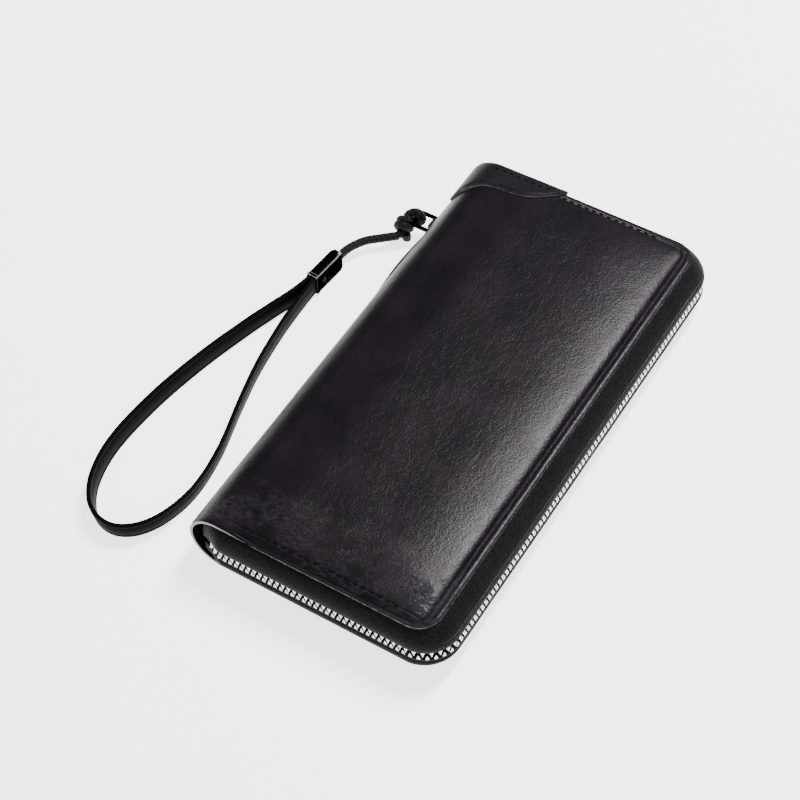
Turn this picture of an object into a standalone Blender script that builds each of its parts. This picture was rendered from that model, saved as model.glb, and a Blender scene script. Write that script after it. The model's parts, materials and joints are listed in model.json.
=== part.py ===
"""Long zip-around wallet with a wrist strap, lying flat and closed.

Frame: metres, +Z up, origin at the centre of the cover's flat bottom face.
The long side runs along Y, the spine is at -X and the zip's long run is at +X.
"""
import math

import bmesh
import bpy
from mathutils import Vector

# ---- Driving dimensions -------------------------------------------------------------

COVER_LENGTH = 0.196          # Y, along the spine
COVER_WIDTH = 0.101           # X, spine to zip side
THICKNESS = 0.026             # Z, outer face to outer face
GAP = 0.0003                  # between pieces that touch
CORNER_RADIUS = 0.010         # cover corners on the zip side, in plan

LEATHER = 0.0016              # cover leather
PADDING = 0.0008
LINING = 0.0006
PANEL = 0.0005                # card slot leather
LAYER_INSET = 0.0040          # lining and padding stop this far inside the cover edge

PATCH = 0.0009                # second leather layer at the far spine corner
PATCH_LENGTH = 0.021          # along the spine
PATCH_REACH = 0.042           # across the cover, from the spine

GUSSET = 0.0008               # leather band between cover and zip tape
GUSSET_ROOT = -0.0024         # offset of the band's seam from the cover edge
GUSSET_TOP = 0.0046           # the band ends this far from the zip's middle plane
TAPE = 0.0006
TAPE_END = 0.0016             # the tape ends this far from the zip's middle plane
ZIP_BULGE = 0.0024            # the closed zip stands this far outside the cover edge
ZIP_TUCK = -0.0025            # and this far inside it at its two ends by the spine
ZIP_TAPER = 0.018             # length over which it comes out
ZIP_START = 0.0065            # distance of the zip's ends from the spine's outer face

SLIDER_FROM_SPINE = 0.0325    # middle of the closed slider

PAGE_DEPTH = 0.072            # coin pocket, spine edge to mouth
PAGE_LENGTH = 0.180
PAGE_SPACE = 0.0042           # room inside the coin pocket
PAGE_WALL = 0.0011
PAGE_FROM_SPINE = 0.0065
COIN_ZIP_LENGTH = 0.150

RING_FROM_FAR_END = 0.027     # along the spine
RING_WIRE = 0.0018
RING_LENGTH = 0.0085          # bar to far side, centre to centre
RING_WIDTH = 0.0072
RING_HEIGHT = 0.0090          # above the floor
KEEPER = 0.0012
KEEPER_LONG = 0.043
KEEPER_SHORT = 0.013
KEEPER_BOW = 0.0016

CORD_DIAMETER = 0.0032
KNOT_RADIUS = 0.0042
KNOT_HALF_HEIGHT = 0.0046
KNOT_FROM_RING = Vector((-0.0030, -0.0084, 0.0050))

CLASP_LENGTH = 0.017
CLASP_WIDTH = 0.0054
CLASP_HEIGHT = 0.0100
CLASP_WALL = 0.0005
CLASP_DEPTH = 0.0095          # how far the strap's two ends go in
CLASP_FROM_RING = Vector((-0.0179, -0.0380, 0.0051))
CLASP_TURN = math.radians(-5.1)

STRAP_WIDTH = 0.0084          # the strap stands on its edge
STRAP_THICKNESS = 0.0017
STRAP_FLOOR = 0.0002

# ---- Worked out from them -----------------------------------------------------------

HALF_L = COVER_LENGTH / 2
HALF_W = COVER_WIDTH / 2
MID_Z = THICKNESS / 2
SPINE_X = -HALF_W
SPINE_CENTRE_X = SPINE_X + MID_Z          # centre of the rounded spine
ZIP_START_X = SPINE_X + ZIP_START
PADDING_Z = LEATHER + GAP
LINING_Z = PADDING_Z + PADDING + GAP
PANEL_Z = LINING_Z + LINING + GAP
RING_Y = HALF_L - RING_FROM_FAR_END
SLEEVE_ROOM = RING_WIRE / 2 + GAP
SLEEVE_RADIUS = SLEEVE_ROOM + 0.0010
SPINE_AT_RING = math.sqrt(MID_Z ** 2 - (MID_Z - RING_HEIGHT) ** 2)
RING_AXIS_X = SPINE_CENTRE_X - SPINE_AT_RING - SLEEVE_RADIUS - 2 * GAP
RING_FAR_X = RING_AXIS_X - RING_LENGTH
# the cord and strap lie on the floor, placed from the point of the floor under the ring's far side
RING_FOOT = Vector((RING_FAR_X, RING_Y, 0.0))
KNOT_CENTRE = RING_FOOT + KNOT_FROM_RING
CLASP_CENTRE = RING_FOOT + CLASP_FROM_RING
BACK, FRONT = 1, -1


# ---- Materials ----------------------------------------------------------------------

def make_material(name, colour, roughness, metallic=0.0):
    material = bpy.data.materials.new(name)
    material.use_nodes = True
    shader = material.node_tree.nodes["Principled BSDF"]
    shader.inputs["Base Color"].default_value = (*colour, 1.0)
    shader.inputs["Roughness"].default_value = roughness
    shader.inputs["Metallic"].default_value = metallic
    material.diffuse_color = (*colour, 1.0)
    return material


# ---- Mesh helpers -------------------------------------------------------------------

def add_mesh(name, mesh_builder, material, origin=(0, 0, 0), smooth=False):
    """Make an object from a bmesh in world coordinates, with its origin where asked."""
    origin = Vector(origin)
    bmesh.ops.translate(mesh_builder, verts=mesh_builder.verts, vec=-origin)
    bmesh.ops.recalc_face_normals(mesh_builder, faces=mesh_builder.faces)
    mesh = bpy.data.meshes.new(name)
    mesh_builder.to_mesh(mesh)
    mesh_builder.free()
    mesh.materials.append(material)
    if smooth:
        mesh.shade_smooth()
        mesh.set_sharp_from_angle(angle=math.radians(40))
    piece = bpy.data.objects.new(name, mesh)
    piece.location = origin
    bpy.context.scene.collection.objects.link(piece)
    return piece


def loft_mesh(sections):
    """Skin a row of equal closed sections and cap its two ends."""
    builder = bmesh.new()
    rings = [[builder.verts.new(point) for point in section] for section in sections]
    count = len(rings[0])
    for ring, following in zip(rings, rings[1:]):
        for i in range(count):
            j = (i + 1) % count
            builder.faces.new((ring[i], ring[j], following[j], following[i]))
    builder.faces.new(reversed(rings[0]))
    builder.faces.new(rings[-1])
    return builder


def plate_mesh(outline, z_low, z_high):
    low = [(x, y, z_low) for x, y in outline]
    high = [(x, y, z_high) for x, y in outline]
    return loft_mesh([low, high])


def box_mesh(low, high):
    outline = [(low[0], low[1]), (high[0], low[1]), (high[0], high[1]), (low[0], high[1])]
    return plate_mesh(outline, low[2], high[2])


def arc(centre, radius, start, end, steps):
    """Points of a circle's arc, angles in degrees."""
    angles = [math.radians(start + (end - start) * i / steps) for i in range(steps + 1)]
    return [(centre[0] + radius * math.cos(a), centre[1] + radius * math.sin(a)) for a in angles]


def rounded_outline(x_low, x_high, half_length, spine_radius, zip_radius):
    """A plate's outline with one radius for its spine corners and one for its zip corners."""
    near, far = -half_length, half_length
    spine_x = x_low + spine_radius
    zip_x = x_high - zip_radius
    return (arc((zip_x, near + zip_radius), zip_radius, -90, 0, 6)
            + arc((zip_x, far - zip_radius), zip_radius, 0, 90, 6)
            + arc((spine_x, far - spine_radius), spine_radius, 90, 180, 3)
            + arc((spine_x, near + spine_radius), spine_radius, 180, 270, 3))


def hide_tool(piece):
    piece.hide_render = True
    piece.display_type = 'WIRE'


def combine(target, tool, operation):
    hide_tool(tool)
    modifier = target.modifiers.new(operation.lower(), 'BOOLEAN')
    modifier.operation = operation
    modifier.object = tool


def smooth_route(points, spacing):
    """Even points on a Catmull-Rom curve through the given ones."""
    points = [Vector(p) for p in points]
    padded = [2 * points[0] - points[1]] + points + [2 * points[-1] - points[-2]]
    dense = []
    for a, b, c, d in zip(padded, padded[1:], padded[2:], padded[3:]):
        for i in range(24):
            t = i / 24
            dense.append(0.5 * (2 * b + (c - a) * t + (2 * a - 5 * b + 4 * c - d) * t * t
                                + (3 * b - a - 3 * c + d) * t ** 3))
    dense.append(points[-1])
    lengths = [0.0]
    for p, q in zip(dense, dense[1:]):
        lengths.append(lengths[-1] + (q - p).length)
    count = max(2, round(lengths[-1] / spacing))
    route, index = [], 0
    for k in range(count + 1):
        target = lengths[-1] * k / count
        while index < len(dense) - 2 and lengths[index + 1] < target:
            index += 1
        span = lengths[index + 1] - lengths[index]
        share = (target - lengths[index]) / span if span else 0.0
        route.append(dense[index].lerp(dense[index + 1], min(share, 1.0)))
    return route


def mirrored(z, side):
    """Heights are written for the back half; the front half is its mirror image."""
    return z if side == BACK else THICKNESS - z


# ---- The wallet's edge and the run of the zip ---------------------------------------

STRAIGHT = HALF_W - CORNER_RADIUS - ZIP_START_X
BEND = CORNER_RADIUS * math.pi / 2
LONG_RUN = COVER_LENGTH - 2 * CORNER_RADIUS
ZIP_LENGTH = 2 * STRAIGHT + 2 * BEND + LONG_RUN


def edge_frame(s):
    """Point of the cover's edge, outward direction and zip offset at arc length s."""
    corner_x = HALF_W - CORNER_RADIUS
    corner_y = HALF_L - CORNER_RADIUS
    if s <= STRAIGHT:
        base, angle = Vector((ZIP_START_X + s, -HALF_L)), -math.pi / 2
    elif s < STRAIGHT + BEND:
        angle = -math.pi / 2 + (s - STRAIGHT) / CORNER_RADIUS
        base = Vector((corner_x, -corner_y)) + CORNER_RADIUS * direction(angle)
    elif s <= STRAIGHT + BEND + LONG_RUN:
        base, angle = Vector((HALF_W, -corner_y + s - STRAIGHT - BEND)), 0.0
    elif s < ZIP_LENGTH - STRAIGHT:
        angle = (s - STRAIGHT - BEND - LONG_RUN) / CORNER_RADIUS
        base = Vector((corner_x, corner_y)) + CORNER_RADIUS * direction(angle)
    else:
        base, angle = Vector((ZIP_START_X + ZIP_LENGTH - s, HALF_L)), math.pi / 2
    share = min(1.0, min(s, ZIP_LENGTH - s) / ZIP_TAPER)
    share = share * share * (3 - 2 * share)
    return base, direction(angle), ZIP_TUCK + (ZIP_BULGE - ZIP_TUCK) * share


def direction(angle):
    return Vector((math.cos(angle), math.sin(angle)))


def edge_stations():
    """Arc lengths that follow the tapers and corners and skip the straight runs."""
    taper = [ZIP_TAPER * i / 6 for i in range(7)]
    bends = [STRAIGHT + BEND * i / 6 for i in range(7)]
    first_half = taper + bends
    return first_half + [ZIP_LENGTH - s for s in reversed(first_half)]


def inner_floor(x):
    """Lowest free height above the back cover's inside at x."""
    if x >= SPINE_CENTRE_X:
        return LEATHER + GAP
    radius = MID_Z - LEATHER - GAP
    return MID_Z - math.sqrt(radius ** 2 - (x - SPINE_CENTRE_X) ** 2)


def edge_band(name, profile, stations, side, material):
    """Sweep a profile of (offset, height) points along the wallet's edge."""
    sections = []
    for s in stations:
        base, outward, zip_offset = edge_frame(s)
        section = []
        for offset, z in profile(s, base, zip_offset):
            point = base + outward * offset
            section.append((point.x, point.y, mirrored(z, side)))
        sections.append(section)
    return add_mesh(name, loft_mesh(sections), material)


# ---- Covers and what lies flat in them ----------------------------------------------

def zip_side_edge(y):
    """The cover's edge at y: straight, then round at its two corners."""
    over = max(0.0, abs(y) - (HALF_L - CORNER_RADIUS))
    return HALF_W - CORNER_RADIUS + math.sqrt(max(0.0, CORNER_RADIUS ** 2 - over ** 2))


def make_cover(name, side, material):
    """Flat leather with its half of the rounded spine."""
    start = 180 + math.degrees(GAP / 2 / MID_Z)
    outer = arc((SPINE_CENTRE_X, MID_Z), MID_Z, 270, start, 9)
    inner = arc((SPINE_CENTRE_X, MID_Z), MID_Z - LEATHER, start, 270, 9)
    corner = [HALF_L - CORNER_RADIUS * (1 - math.sin(math.radians(a))) for a in range(0, 91, 15)]
    sections = []
    for y in [-y for y in reversed(corner)] + corner:
        edge = zip_side_edge(y)
        profile = [(edge, 0.0)] + outer + inner + [(edge, LEATHER)]
        sections.append([(x, y, mirrored(z, side)) for x, z in profile])
    return add_mesh(name, loft_mesh(sections), material, smooth=True)


def make_layer(name, z, thickness, side, material):
    outline = rounded_outline(SPINE_CENTRE_X, HALF_W - LAYER_INSET, HALF_L - LAYER_INSET,
                              0.001, CORNER_RADIUS - LAYER_INSET)
    low, high = sorted((mirrored(z, side), mirrored(z + thickness, side)))
    return add_mesh(name, plate_mesh(outline, low, high), material)


def make_card_panels(half_name, side, material):
    """Two columns of card slots, each with two overlapping panels."""
    column_margin = 0.007
    column_gap = 0.003
    spine_edge = SPINE_CENTRE_X + 0.002
    mouths = (HALF_W - 0.028, HALF_W - 0.044)
    column_length = HALF_L - column_margin - column_gap / 2
    for column, sign in (("near", -1), ("far", 1)):
        middle = sign * (column_gap / 2 + column_length / 2)
        for level, mouth in enumerate(mouths):
            outline = rounded_outline(spine_edge, mouth, column_length / 2, 0.001, 0.002)
            outline = [(x, y + middle) for x, y in outline]
            z = PANEL_Z + level * (PANEL + GAP)
            low, high = sorted((mirrored(z, side), mirrored(z + PANEL, side)))
            name = f"{half_name}_card_panel_{column}_{level + 1}"
            add_mesh(name, plate_mesh(outline, low, high), material)


def make_corner_patch(material):
    """Leather overlay whose free edge is an S-curve from the spine to the far edge."""
    first_angle = math.radians(150)
    arc_steps, flat_steps = 6, 12
    arc_points = []
    for i in range(arc_steps + 1):
        angle = first_angle + (math.pi / 2 - first_angle) * i / arc_steps
        arc_points.append(((SPINE_CENTRE_X, MID_Z), (math.cos(angle), math.sin(angle))))
    flat_end = SPINE_X + PATCH_REACH
    stations = [(centre[0] + MID_Z * n[0], centre[1] + MID_Z * n[1], n) for centre, n in arc_points]
    for i in range(1, flat_steps + 1):
        x = SPINE_CENTRE_X + (flat_end - SPINE_CENTRE_X) * i / flat_steps
        stations.append((x, THICKNESS, (0.0, 1.0)))
    outer_y = HALF_L - GAP
    sections = []
    for x, z, normal in stations:
        reach = (x - SPINE_X) / PATCH_REACH
        wave = 0.16 * math.sin(2 * math.pi * reach)
        depth = PATCH_LENGTH * (1 - reach - wave) + 0.0012
        section = []
        for height, y in ((GAP, outer_y - depth), (GAP, outer_y),
                          (GAP + PATCH, outer_y), (GAP + PATCH, outer_y - depth)):
            section.append((x + normal[0] * height, y, z + normal[1] * height))
        sections.append(section)
    return add_mesh("corner_patch", loft_mesh(sections), material)


# ---- Zip ------------------------------------------------------------------------------

def gusset_profile(s, base, zip_offset):
    low = inner_floor(base.x)
    high = MID_Z - GUSSET_TOP
    half = GUSSET / 2
    return [(GUSSET_ROOT - half, low), (GUSSET_ROOT + half, low),
            (zip_offset + half, high), (zip_offset - half, high)]


def tape_profile(s, base, zip_offset):
    low = MID_Z - GUSSET_TOP + GAP
    high = MID_Z - TAPE_END
    half = TAPE / 2
    return [(zip_offset - half, low), (zip_offset + half, low),
            (zip_offset + half, high), (zip_offset - half, high)]


TOOTH_PITCH = 0.00235
TOOTH_HEIGHT = 0.0018         # height of the zigzag where the two rows mesh
TOOTH_DEPTH = 0.0026          # through the zip


def tooth_row_mesh(place, count, pitch, height, depth, root):
    """A comb whose free edge zigzags; place(s, offset, z) turns it into world points."""
    sections = []
    for i in range(2 * count + 1):
        swing = height / 2 if i % 2 else -height / 2
        tip = swing - GAP * 0.9
        s = i * pitch / 2
        sections.append([place(s, -depth / 2, root), place(s, depth / 2, root),
                         place(s, depth / 2, tip), place(s, -depth / 2, tip)])
    return loft_mesh(sections)


def make_main_teeth(name, side, material):
    """One row of teeth, from the zip's near end to the closed slider's post."""
    stop_room = 0.0030
    end = ZIP_LENGTH - (SLIDER_FROM_SPINE - ZIP_START) - MAIN_SLIDER["post_end"] - GAP
    count = int((end - stop_room) / TOOTH_PITCH)
    start = end - count * TOOTH_PITCH

    def place(s, offset, z):
        base, outward, zip_offset = edge_frame(start + s)
        point = base + outward * (zip_offset + offset)
        # the front row is cut to the back row's zigzag, so the two mesh
        swing = z if side == BACK else swap_zigzag(z)
        return (point.x, point.y, mirrored(MID_Z + swing, side))

    root = -TAPE_END + GAP
    return add_mesh(name, tooth_row_mesh(place, count, TOOTH_PITCH, TOOTH_HEIGHT, TOOTH_DEPTH, root),
                    material)


def swap_zigzag(z):
    """Turn a zigzag's crests into valleys, and leave its root alone."""
    if z <= -TAPE_END + GAP:
        return z
    return -GAP * 1.8 - z


def make_stop(name, s, side, material):
    """Small metal clip on the tape's edge at the end of a tooth row."""
    base, outward, zip_offset = edge_frame(s)
    half_length, half_depth = 0.0009, 0.0012
    high = -GAP / 2
    along = Vector((-outward.y, outward.x))
    outline = []
    for a, o in ((-1, -1), (1, -1), (1, 1), (-1, 1)):
        point = base + outward * (zip_offset + o * half_depth) + along * (a * half_length)
        outline.append((point.x, point.y))
    low, top = sorted((mirrored(MID_Z - TAPE_END + GAP, side), mirrored(MID_Z + high, side)))
    return add_mesh(name, plate_mesh(outline, low, top), material)


# A slider's sizes, along its run, through the zip and across the tape.
MAIN_SLIDER = {"length": 0.0120, "plate": 0.0010, "half_room": 0.0016,
               "half_width": 0.0041, "inner_half_width": 0.0041,
               "post_start": 0.0054, "post_end": 0.0022, "post_half": 0.0011,
               "arch_half": 0.0040, "arch_rise": 0.0024, "arch_bar": 0.0010, "arch_width": 0.0020}
COIN_SLIDER = {"length": 0.0090, "plate": 0.0007, "half_room": 0.0012,
               "half_width": 0.0028, "inner_half_width": 0.0012,
               "post_start": 0.0040, "post_end": 0.0016, "post_half": 0.0008,
               "arch_half": 0.0031, "arch_rise": 0.0020, "arch_bar": 0.0008, "arch_width": 0.0016}


def make_slider(name, sizes, origin, turn, material):
    """Two plates joined by a post, and an arch for the pull.

    Local X points to the opening end, local Y out of the zip, local Z across the tape.
    """
    room, plate = sizes["half_room"], sizes["plate"]
    half_x, half_z = sizes["length"] / 2, sizes["half_width"]
    face = room + plate
    overlap = plate / 3

    def part(suffix, low, high):
        piece = add_mesh(name + suffix, box_mesh(low, high), material)
        piece.location = origin
        piece.rotation_euler = (0, 0, turn)
        return piece

    body = part("", (-half_x, room, -half_z), (half_x, face, half_z))
    inner_z = sizes["inner_half_width"]
    inner = part("_inner", (-half_x, -face, -inner_z), (half_x, -room, inner_z))
    post = part("_post", (-sizes["post_start"], -room - overlap, -sizes["post_half"]),
                (-sizes["post_end"], room + overlap, sizes["post_half"]))
    arch_z, reach = sizes["arch_width"] / 2, sizes["arch_half"]
    top = face + sizes["arch_rise"]
    arch = part("_arch", (-reach, face - overlap, -arch_z), (reach, top, arch_z))
    window = part("_arch_window", (-reach + sizes["arch_bar"], face, -half_z),
                  (reach - sizes["arch_bar"], top - sizes["arch_bar"], half_z))
    combine(arch, window, 'DIFFERENCE')
    for tool in (inner, post, arch):
        combine(body, tool, 'UNION')
    return body


MAIN_PULL = {"length": 0.022, "half_width": 0.0034, "thickness": 0.0008}
COIN_PULL = {"length": 0.012, "half_width": 0.0026, "thickness": 0.0006}


def pull_axis_offset(slider):
    """Distance of the pull's axis from the zip's middle, under the slider's arch."""
    room = slider["arch_rise"] - slider["arch_bar"]
    return slider["half_room"] + slider["plate"] + room / 2


def make_pull(name, slider, sizes, origin, turn, material):
    """Flat tab with a window that hooks under the slider's arch; local -X is its free end."""
    half_z, half_t = sizes["half_width"], sizes["thickness"] / 2
    cross_half = half_t
    window_end = slider["arch_half"] + 0.0008
    window_half = slider["arch_width"] / 2 + 0.0004
    tab = add_mesh(name, box_mesh((-sizes["length"], -half_t, -half_z), (cross_half, half_t, half_z)),
                   material)
    window = add_mesh(name + "_window", box_mesh((-window_end, -2 * half_t, -window_half),
                                                 (-cross_half, 2 * half_t, window_half)), material)
    tip_start = sizes["length"] * 0.6
    tip = add_mesh(name + "_slot", box_mesh((-sizes["length"] + 0.0020, -2 * half_t, -half_z + 0.0018),
                                            (-tip_start, 2 * half_t, half_z - 0.0018)), material)
    combine(tab, window, 'DIFFERENCE')
    combine(tab, tip, 'DIFFERENCE')
    for piece in (tab, window, tip):
        piece.location = origin
        piece.rotation_euler = (0, 0, turn)
    return tab


# ---- Coin pocket ----------------------------------------------------------------------

PAGE_X = SPINE_X + PAGE_FROM_SPINE
MOUTH_X = PAGE_X + PAGE_DEPTH
PAGE_LOW = MID_Z - PAGE_SPACE / 2 - PAGE_WALL
PAGE_HIGH = MID_Z + PAGE_SPACE / 2 + PAGE_WALL
COIN_TAPE = 0.0005
COIN_TOOTH_HALF_ROOT = 0.0014
COIN_TOOTH_PITCH = 0.0024
COIN_TOOTH_HEIGHT = 0.0012
COIN_TOOTH_DEPTH = 0.0018
COIN_ZIP_X = MOUTH_X + GAP + COIN_SLIDER["half_room"] + COIN_SLIDER["plate"]
COIN_SLIDER_Y = COIN_ZIP_LENGTH / 2 - COIN_SLIDER["length"] / 2


def make_coin_pocket(material, fabric, metal):
    half = PAGE_LENGTH / 2
    outline = rounded_outline(PAGE_X, MOUTH_X, half, 0.001, 0.003)
    add_mesh("coin_pocket_back_wall", plate_mesh(outline, PAGE_LOW, PAGE_LOW + PAGE_WALL), material)
    add_mesh("coin_pocket_front_wall", plate_mesh(outline, PAGE_HIGH - PAGE_WALL, PAGE_HIGH), material)
    # a folded strip closes the pocket along the spine and at its two ends
    strip = 0.0012
    seam = 0.0020
    end = half - seam
    outline = [(MOUTH_X - seam, -end), (MOUTH_X - seam, -end + strip), (PAGE_X + seam + strip, -end + strip),
               (PAGE_X + seam + strip, end - strip), (MOUTH_X - seam, end - strip),
               (MOUTH_X - seam, end), (PAGE_X + seam, end), (PAGE_X + seam, -end)]
    low, high = PAGE_LOW + PAGE_WALL + GAP, PAGE_HIGH - PAGE_WALL - GAP
    add_mesh("coin_pocket_gusset", plate_mesh(outline, low, high), fabric)
    for half_name, sign in (("back", -1), ("front", 1)):
        make_coin_tape(half_name, sign, fabric)
        make_coin_teeth(half_name, sign, metal)


def make_coin_tape(half_name, sign, material):
    """Tape from the pocket's wall to the teeth: a flat tail in the mouth, then an upright edge."""
    root = MID_Z + sign * (PAGE_SPACE / 2 - GAP)
    tip = MID_Z + sign * (COIN_TOOTH_HALF_ROOT + GAP)
    tail_x = MOUTH_X - 0.0050
    step = COIN_TAPE * sign
    profile = [(tail_x, root), (COIN_ZIP_X + COIN_TAPE / 2, root), (COIN_ZIP_X + COIN_TAPE / 2, tip),
               (COIN_ZIP_X - COIN_TAPE / 2, tip), (COIN_ZIP_X - COIN_TAPE / 2, root - step / 2),
               (tail_x, root - step / 2)]
    half = COIN_ZIP_LENGTH / 2
    sections = [[(x, y, z) for x, z in profile] for y in (-half, half)]
    add_mesh(f"coin_{half_name}_tape", loft_mesh(sections), material)


def make_coin_teeth(half_name, sign, material):
    stop_room = 0.0020
    end = COIN_SLIDER_Y + COIN_SLIDER["post_end"] - GAP
    count = int((end + COIN_ZIP_LENGTH / 2 - stop_room) / COIN_TOOTH_PITCH)
    start = end - count * COIN_TOOTH_PITCH

    def place(s, offset, z):
        swing = z if z == -COIN_TOOTH_HALF_ROOT or sign < 0 else -GAP * 1.8 - z
        return (COIN_ZIP_X + offset, start + s, MID_Z - sign * swing)

    row = tooth_row_mesh(place, count, COIN_TOOTH_PITCH, COIN_TOOTH_HEIGHT, COIN_TOOTH_DEPTH,
                         -COIN_TOOTH_HALF_ROOT)
    add_mesh(f"coin_{half_name}_teeth", row, material)


# ---- Ring and wrist strap ---------------------------------------------------------------

def make_keeper(name, y_start, y_end, material):
    """Leather strip along the spine, below the fold line, that bows out in its middle."""
    first, last, steps, stations = 183.0, 214.0, 4, 9
    sections = []
    for i in range(stations):
        share = i / (stations - 1)
        y = y_start + (y_end - y_start) * share
        lift = GAP + KEEPER_BOW * math.sin(math.pi * share) * min(1.0, abs(y_end - y_start) / KEEPER_LONG)
        inner = arc((SPINE_CENTRE_X, MID_Z), MID_Z + lift, first, last, steps)
        outer = arc((SPINE_CENTRE_X, MID_Z), MID_Z + lift + KEEPER, last, first, steps)
        sections.append([(x, y, z) for x, z in inner + outer])
    return add_mesh(name, loft_mesh(sections), material)


def make_sleeve(material):
    """Leather loop around the ring's straight bar."""
    half_length = RING_WIDTH / 2 - RING_WIRE / 2 - 0.0006
    rings = []
    builder = bmesh.new()
    steps = 16
    for radius in (SLEEVE_RADIUS, SLEEVE_ROOM):
        for y in (RING_Y - half_length, RING_Y + half_length):
            circle = arc((RING_AXIS_X, RING_HEIGHT), radius, 0, 360 - 360 / steps, steps - 1)
            rings.append([builder.verts.new((x, y, z)) for x, z in circle])
    outer_near, outer_far, inner_near, inner_far = rings
    for a, b in ((outer_near, outer_far), (outer_far, inner_far), (inner_far, inner_near),
                 (inner_near, outer_near)):
        for i in range(steps):
            j = (i + 1) % steps
            builder.faces.new((a[i], a[j], b[j], b[i]))
    return add_mesh("ring_sleeve", builder, material, smooth=True)


def make_closed_tube(name, path, radius, sides, material, origin):
    """Round wire along a closed path of (centre, side direction, up direction)."""
    builder = bmesh.new()
    rings = []
    for centre, side, up in path:
        ring = []
        for i in range(sides):
            angle = 2 * math.pi * i / sides
            ring.append(builder.verts.new(centre + radius * (math.cos(angle) * side
                                                             + math.sin(angle) * up)))
        rings.append(ring)
    for k, ring in enumerate(rings):
        following = rings[(k + 1) % len(rings)]
        for i in range(sides):
            j = (i + 1) % sides
            builder.faces.new((ring[i], ring[j], following[j], following[i]))
    return add_mesh(name, builder, material, origin, smooth=True)


def make_ring(material):
    """Rounded rectangle of wire, flat, with its bar in the sleeve."""
    radius = 0.0012
    centre_x = (RING_AXIS_X + RING_FAR_X) / 2
    outline = rounded_outline(RING_FAR_X, RING_AXIS_X, RING_WIDTH / 2, radius, radius)
    middle = Vector((centre_x, 0.0))
    path = []
    for i, point in enumerate(outline):
        before = Vector(outline[i - 1])
        after = Vector(outline[(i + 1) % len(outline)])
        along = (after - before).normalized()
        side = Vector((along.y, -along.x, 0.0))
        here = Vector(point)
        if side.xy.dot(here - middle) < 0:
            side = -side
        path.append((Vector((here.x, here.y + RING_Y, RING_HEIGHT)), side, Vector((0, 0, 1))))
    return make_closed_tube("strap_ring", path, RING_WIRE / 2, 10, material,
                            (RING_AXIS_X, RING_Y, RING_HEIGHT))


EYE_RADIUS = RING_WIRE / 2 + GAP + CORD_DIAMETER / 2 + 0.0002


def make_eye(material):
    """The cord's turn through the ring, around its far side."""
    centre = Vector((RING_FAR_X, RING_Y, RING_HEIGHT))
    path = []
    for i in range(20):
        angle = 2 * math.pi * i / 20
        outward = Vector((math.cos(angle), 0, math.sin(angle)))
        path.append((centre + EYE_RADIUS * outward, outward, Vector((0, 1, 0))))
    return make_closed_tube("cord_eye", path, CORD_DIAMETER / 2, 10, material, centre)


def make_knot(material):
    """Knot as a round body, turned about the upright axis that the strap swings on."""
    builder = bmesh.new()
    bmesh.ops.create_uvsphere(builder, u_segments=20, v_segments=12, radius=1.0)
    bmesh.ops.scale(builder, verts=builder.verts, vec=(KNOT_RADIUS, KNOT_RADIUS, KNOT_HALF_HEIGHT))
    bmesh.ops.translate(builder, verts=builder.verts, vec=KNOT_CENTRE)
    return add_mesh("cord_knot", builder, material, KNOT_CENTRE, smooth=True)


def make_tube(name, route, diameter, material):
    """Round cord along a route, as a filled curve."""
    curve = bpy.data.curves.new(name, 'CURVE')
    curve.dimensions = '3D'
    curve.bevel_depth = diameter / 2
    curve.bevel_resolution = 2
    curve.use_fill_caps = True
    spline = curve.splines.new('POLY')
    spline.points.add(len(route) - 1)
    for point, place in zip(spline.points, route):
        point.co = (*place, 1.0)
    curve.materials.append(material)
    piece = bpy.data.objects.new(name, curve)
    bpy.context.scene.collection.objects.link(piece)
    return piece


def clasp_place(x, y, z):
    """A point of the clasp, from its own axes to the world."""
    cosine, sine = math.cos(CLASP_TURN), math.sin(CLASP_TURN)
    return CLASP_CENTRE + Vector((x * cosine - y * sine, x * sine + y * cosine, z))


def make_clasp(material):
    """Flat metal tube, open towards the strap and solid towards the cord."""
    half_w, half_l, half_h = CLASP_WIDTH / 2, CLASP_LENGTH / 2, CLASP_HEIGHT / 2
    outline = rounded_outline(-half_w, half_w, half_l, 0.0012, 0.0012)
    shell = add_mesh("strap_clasp", plate_mesh(outline, -half_h, half_h), material)
    room_w, room_h = half_w - CLASP_WALL, half_h - CLASP_WALL
    room = add_mesh("strap_clasp_room", box_mesh((-room_w, -2 * half_l, -room_h),
                                                 (room_w, -half_l + CLASP_DEPTH, room_h)), material)
    combine(shell, room, 'DIFFERENCE')
    for piece in (shell, room):
        piece.location = CLASP_CENTRE
        piece.rotation_euler = (0, 0, CLASP_TURN)
    return shell


def make_rivet(material):
    """Low domed rivet on the clasp's side, near the strap."""
    radius, height, steps = 0.0013, 0.0005, 14
    sections = []
    for share, scale in ((0.0, 1.0), (0.5, 0.9), (1.0, 0.5)):
        circle = arc((-CLASP_LENGTH / 2 + 0.0045, 0.0), radius * scale, 0, 360 - 360 / steps, steps - 1)
        x = CLASP_WIDTH / 2 + GAP + height * share
        sections.append([clasp_place(x, y, z) for y, z in circle])
    return add_mesh("clasp_rivet", loft_mesh(sections), material, smooth=True)


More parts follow.
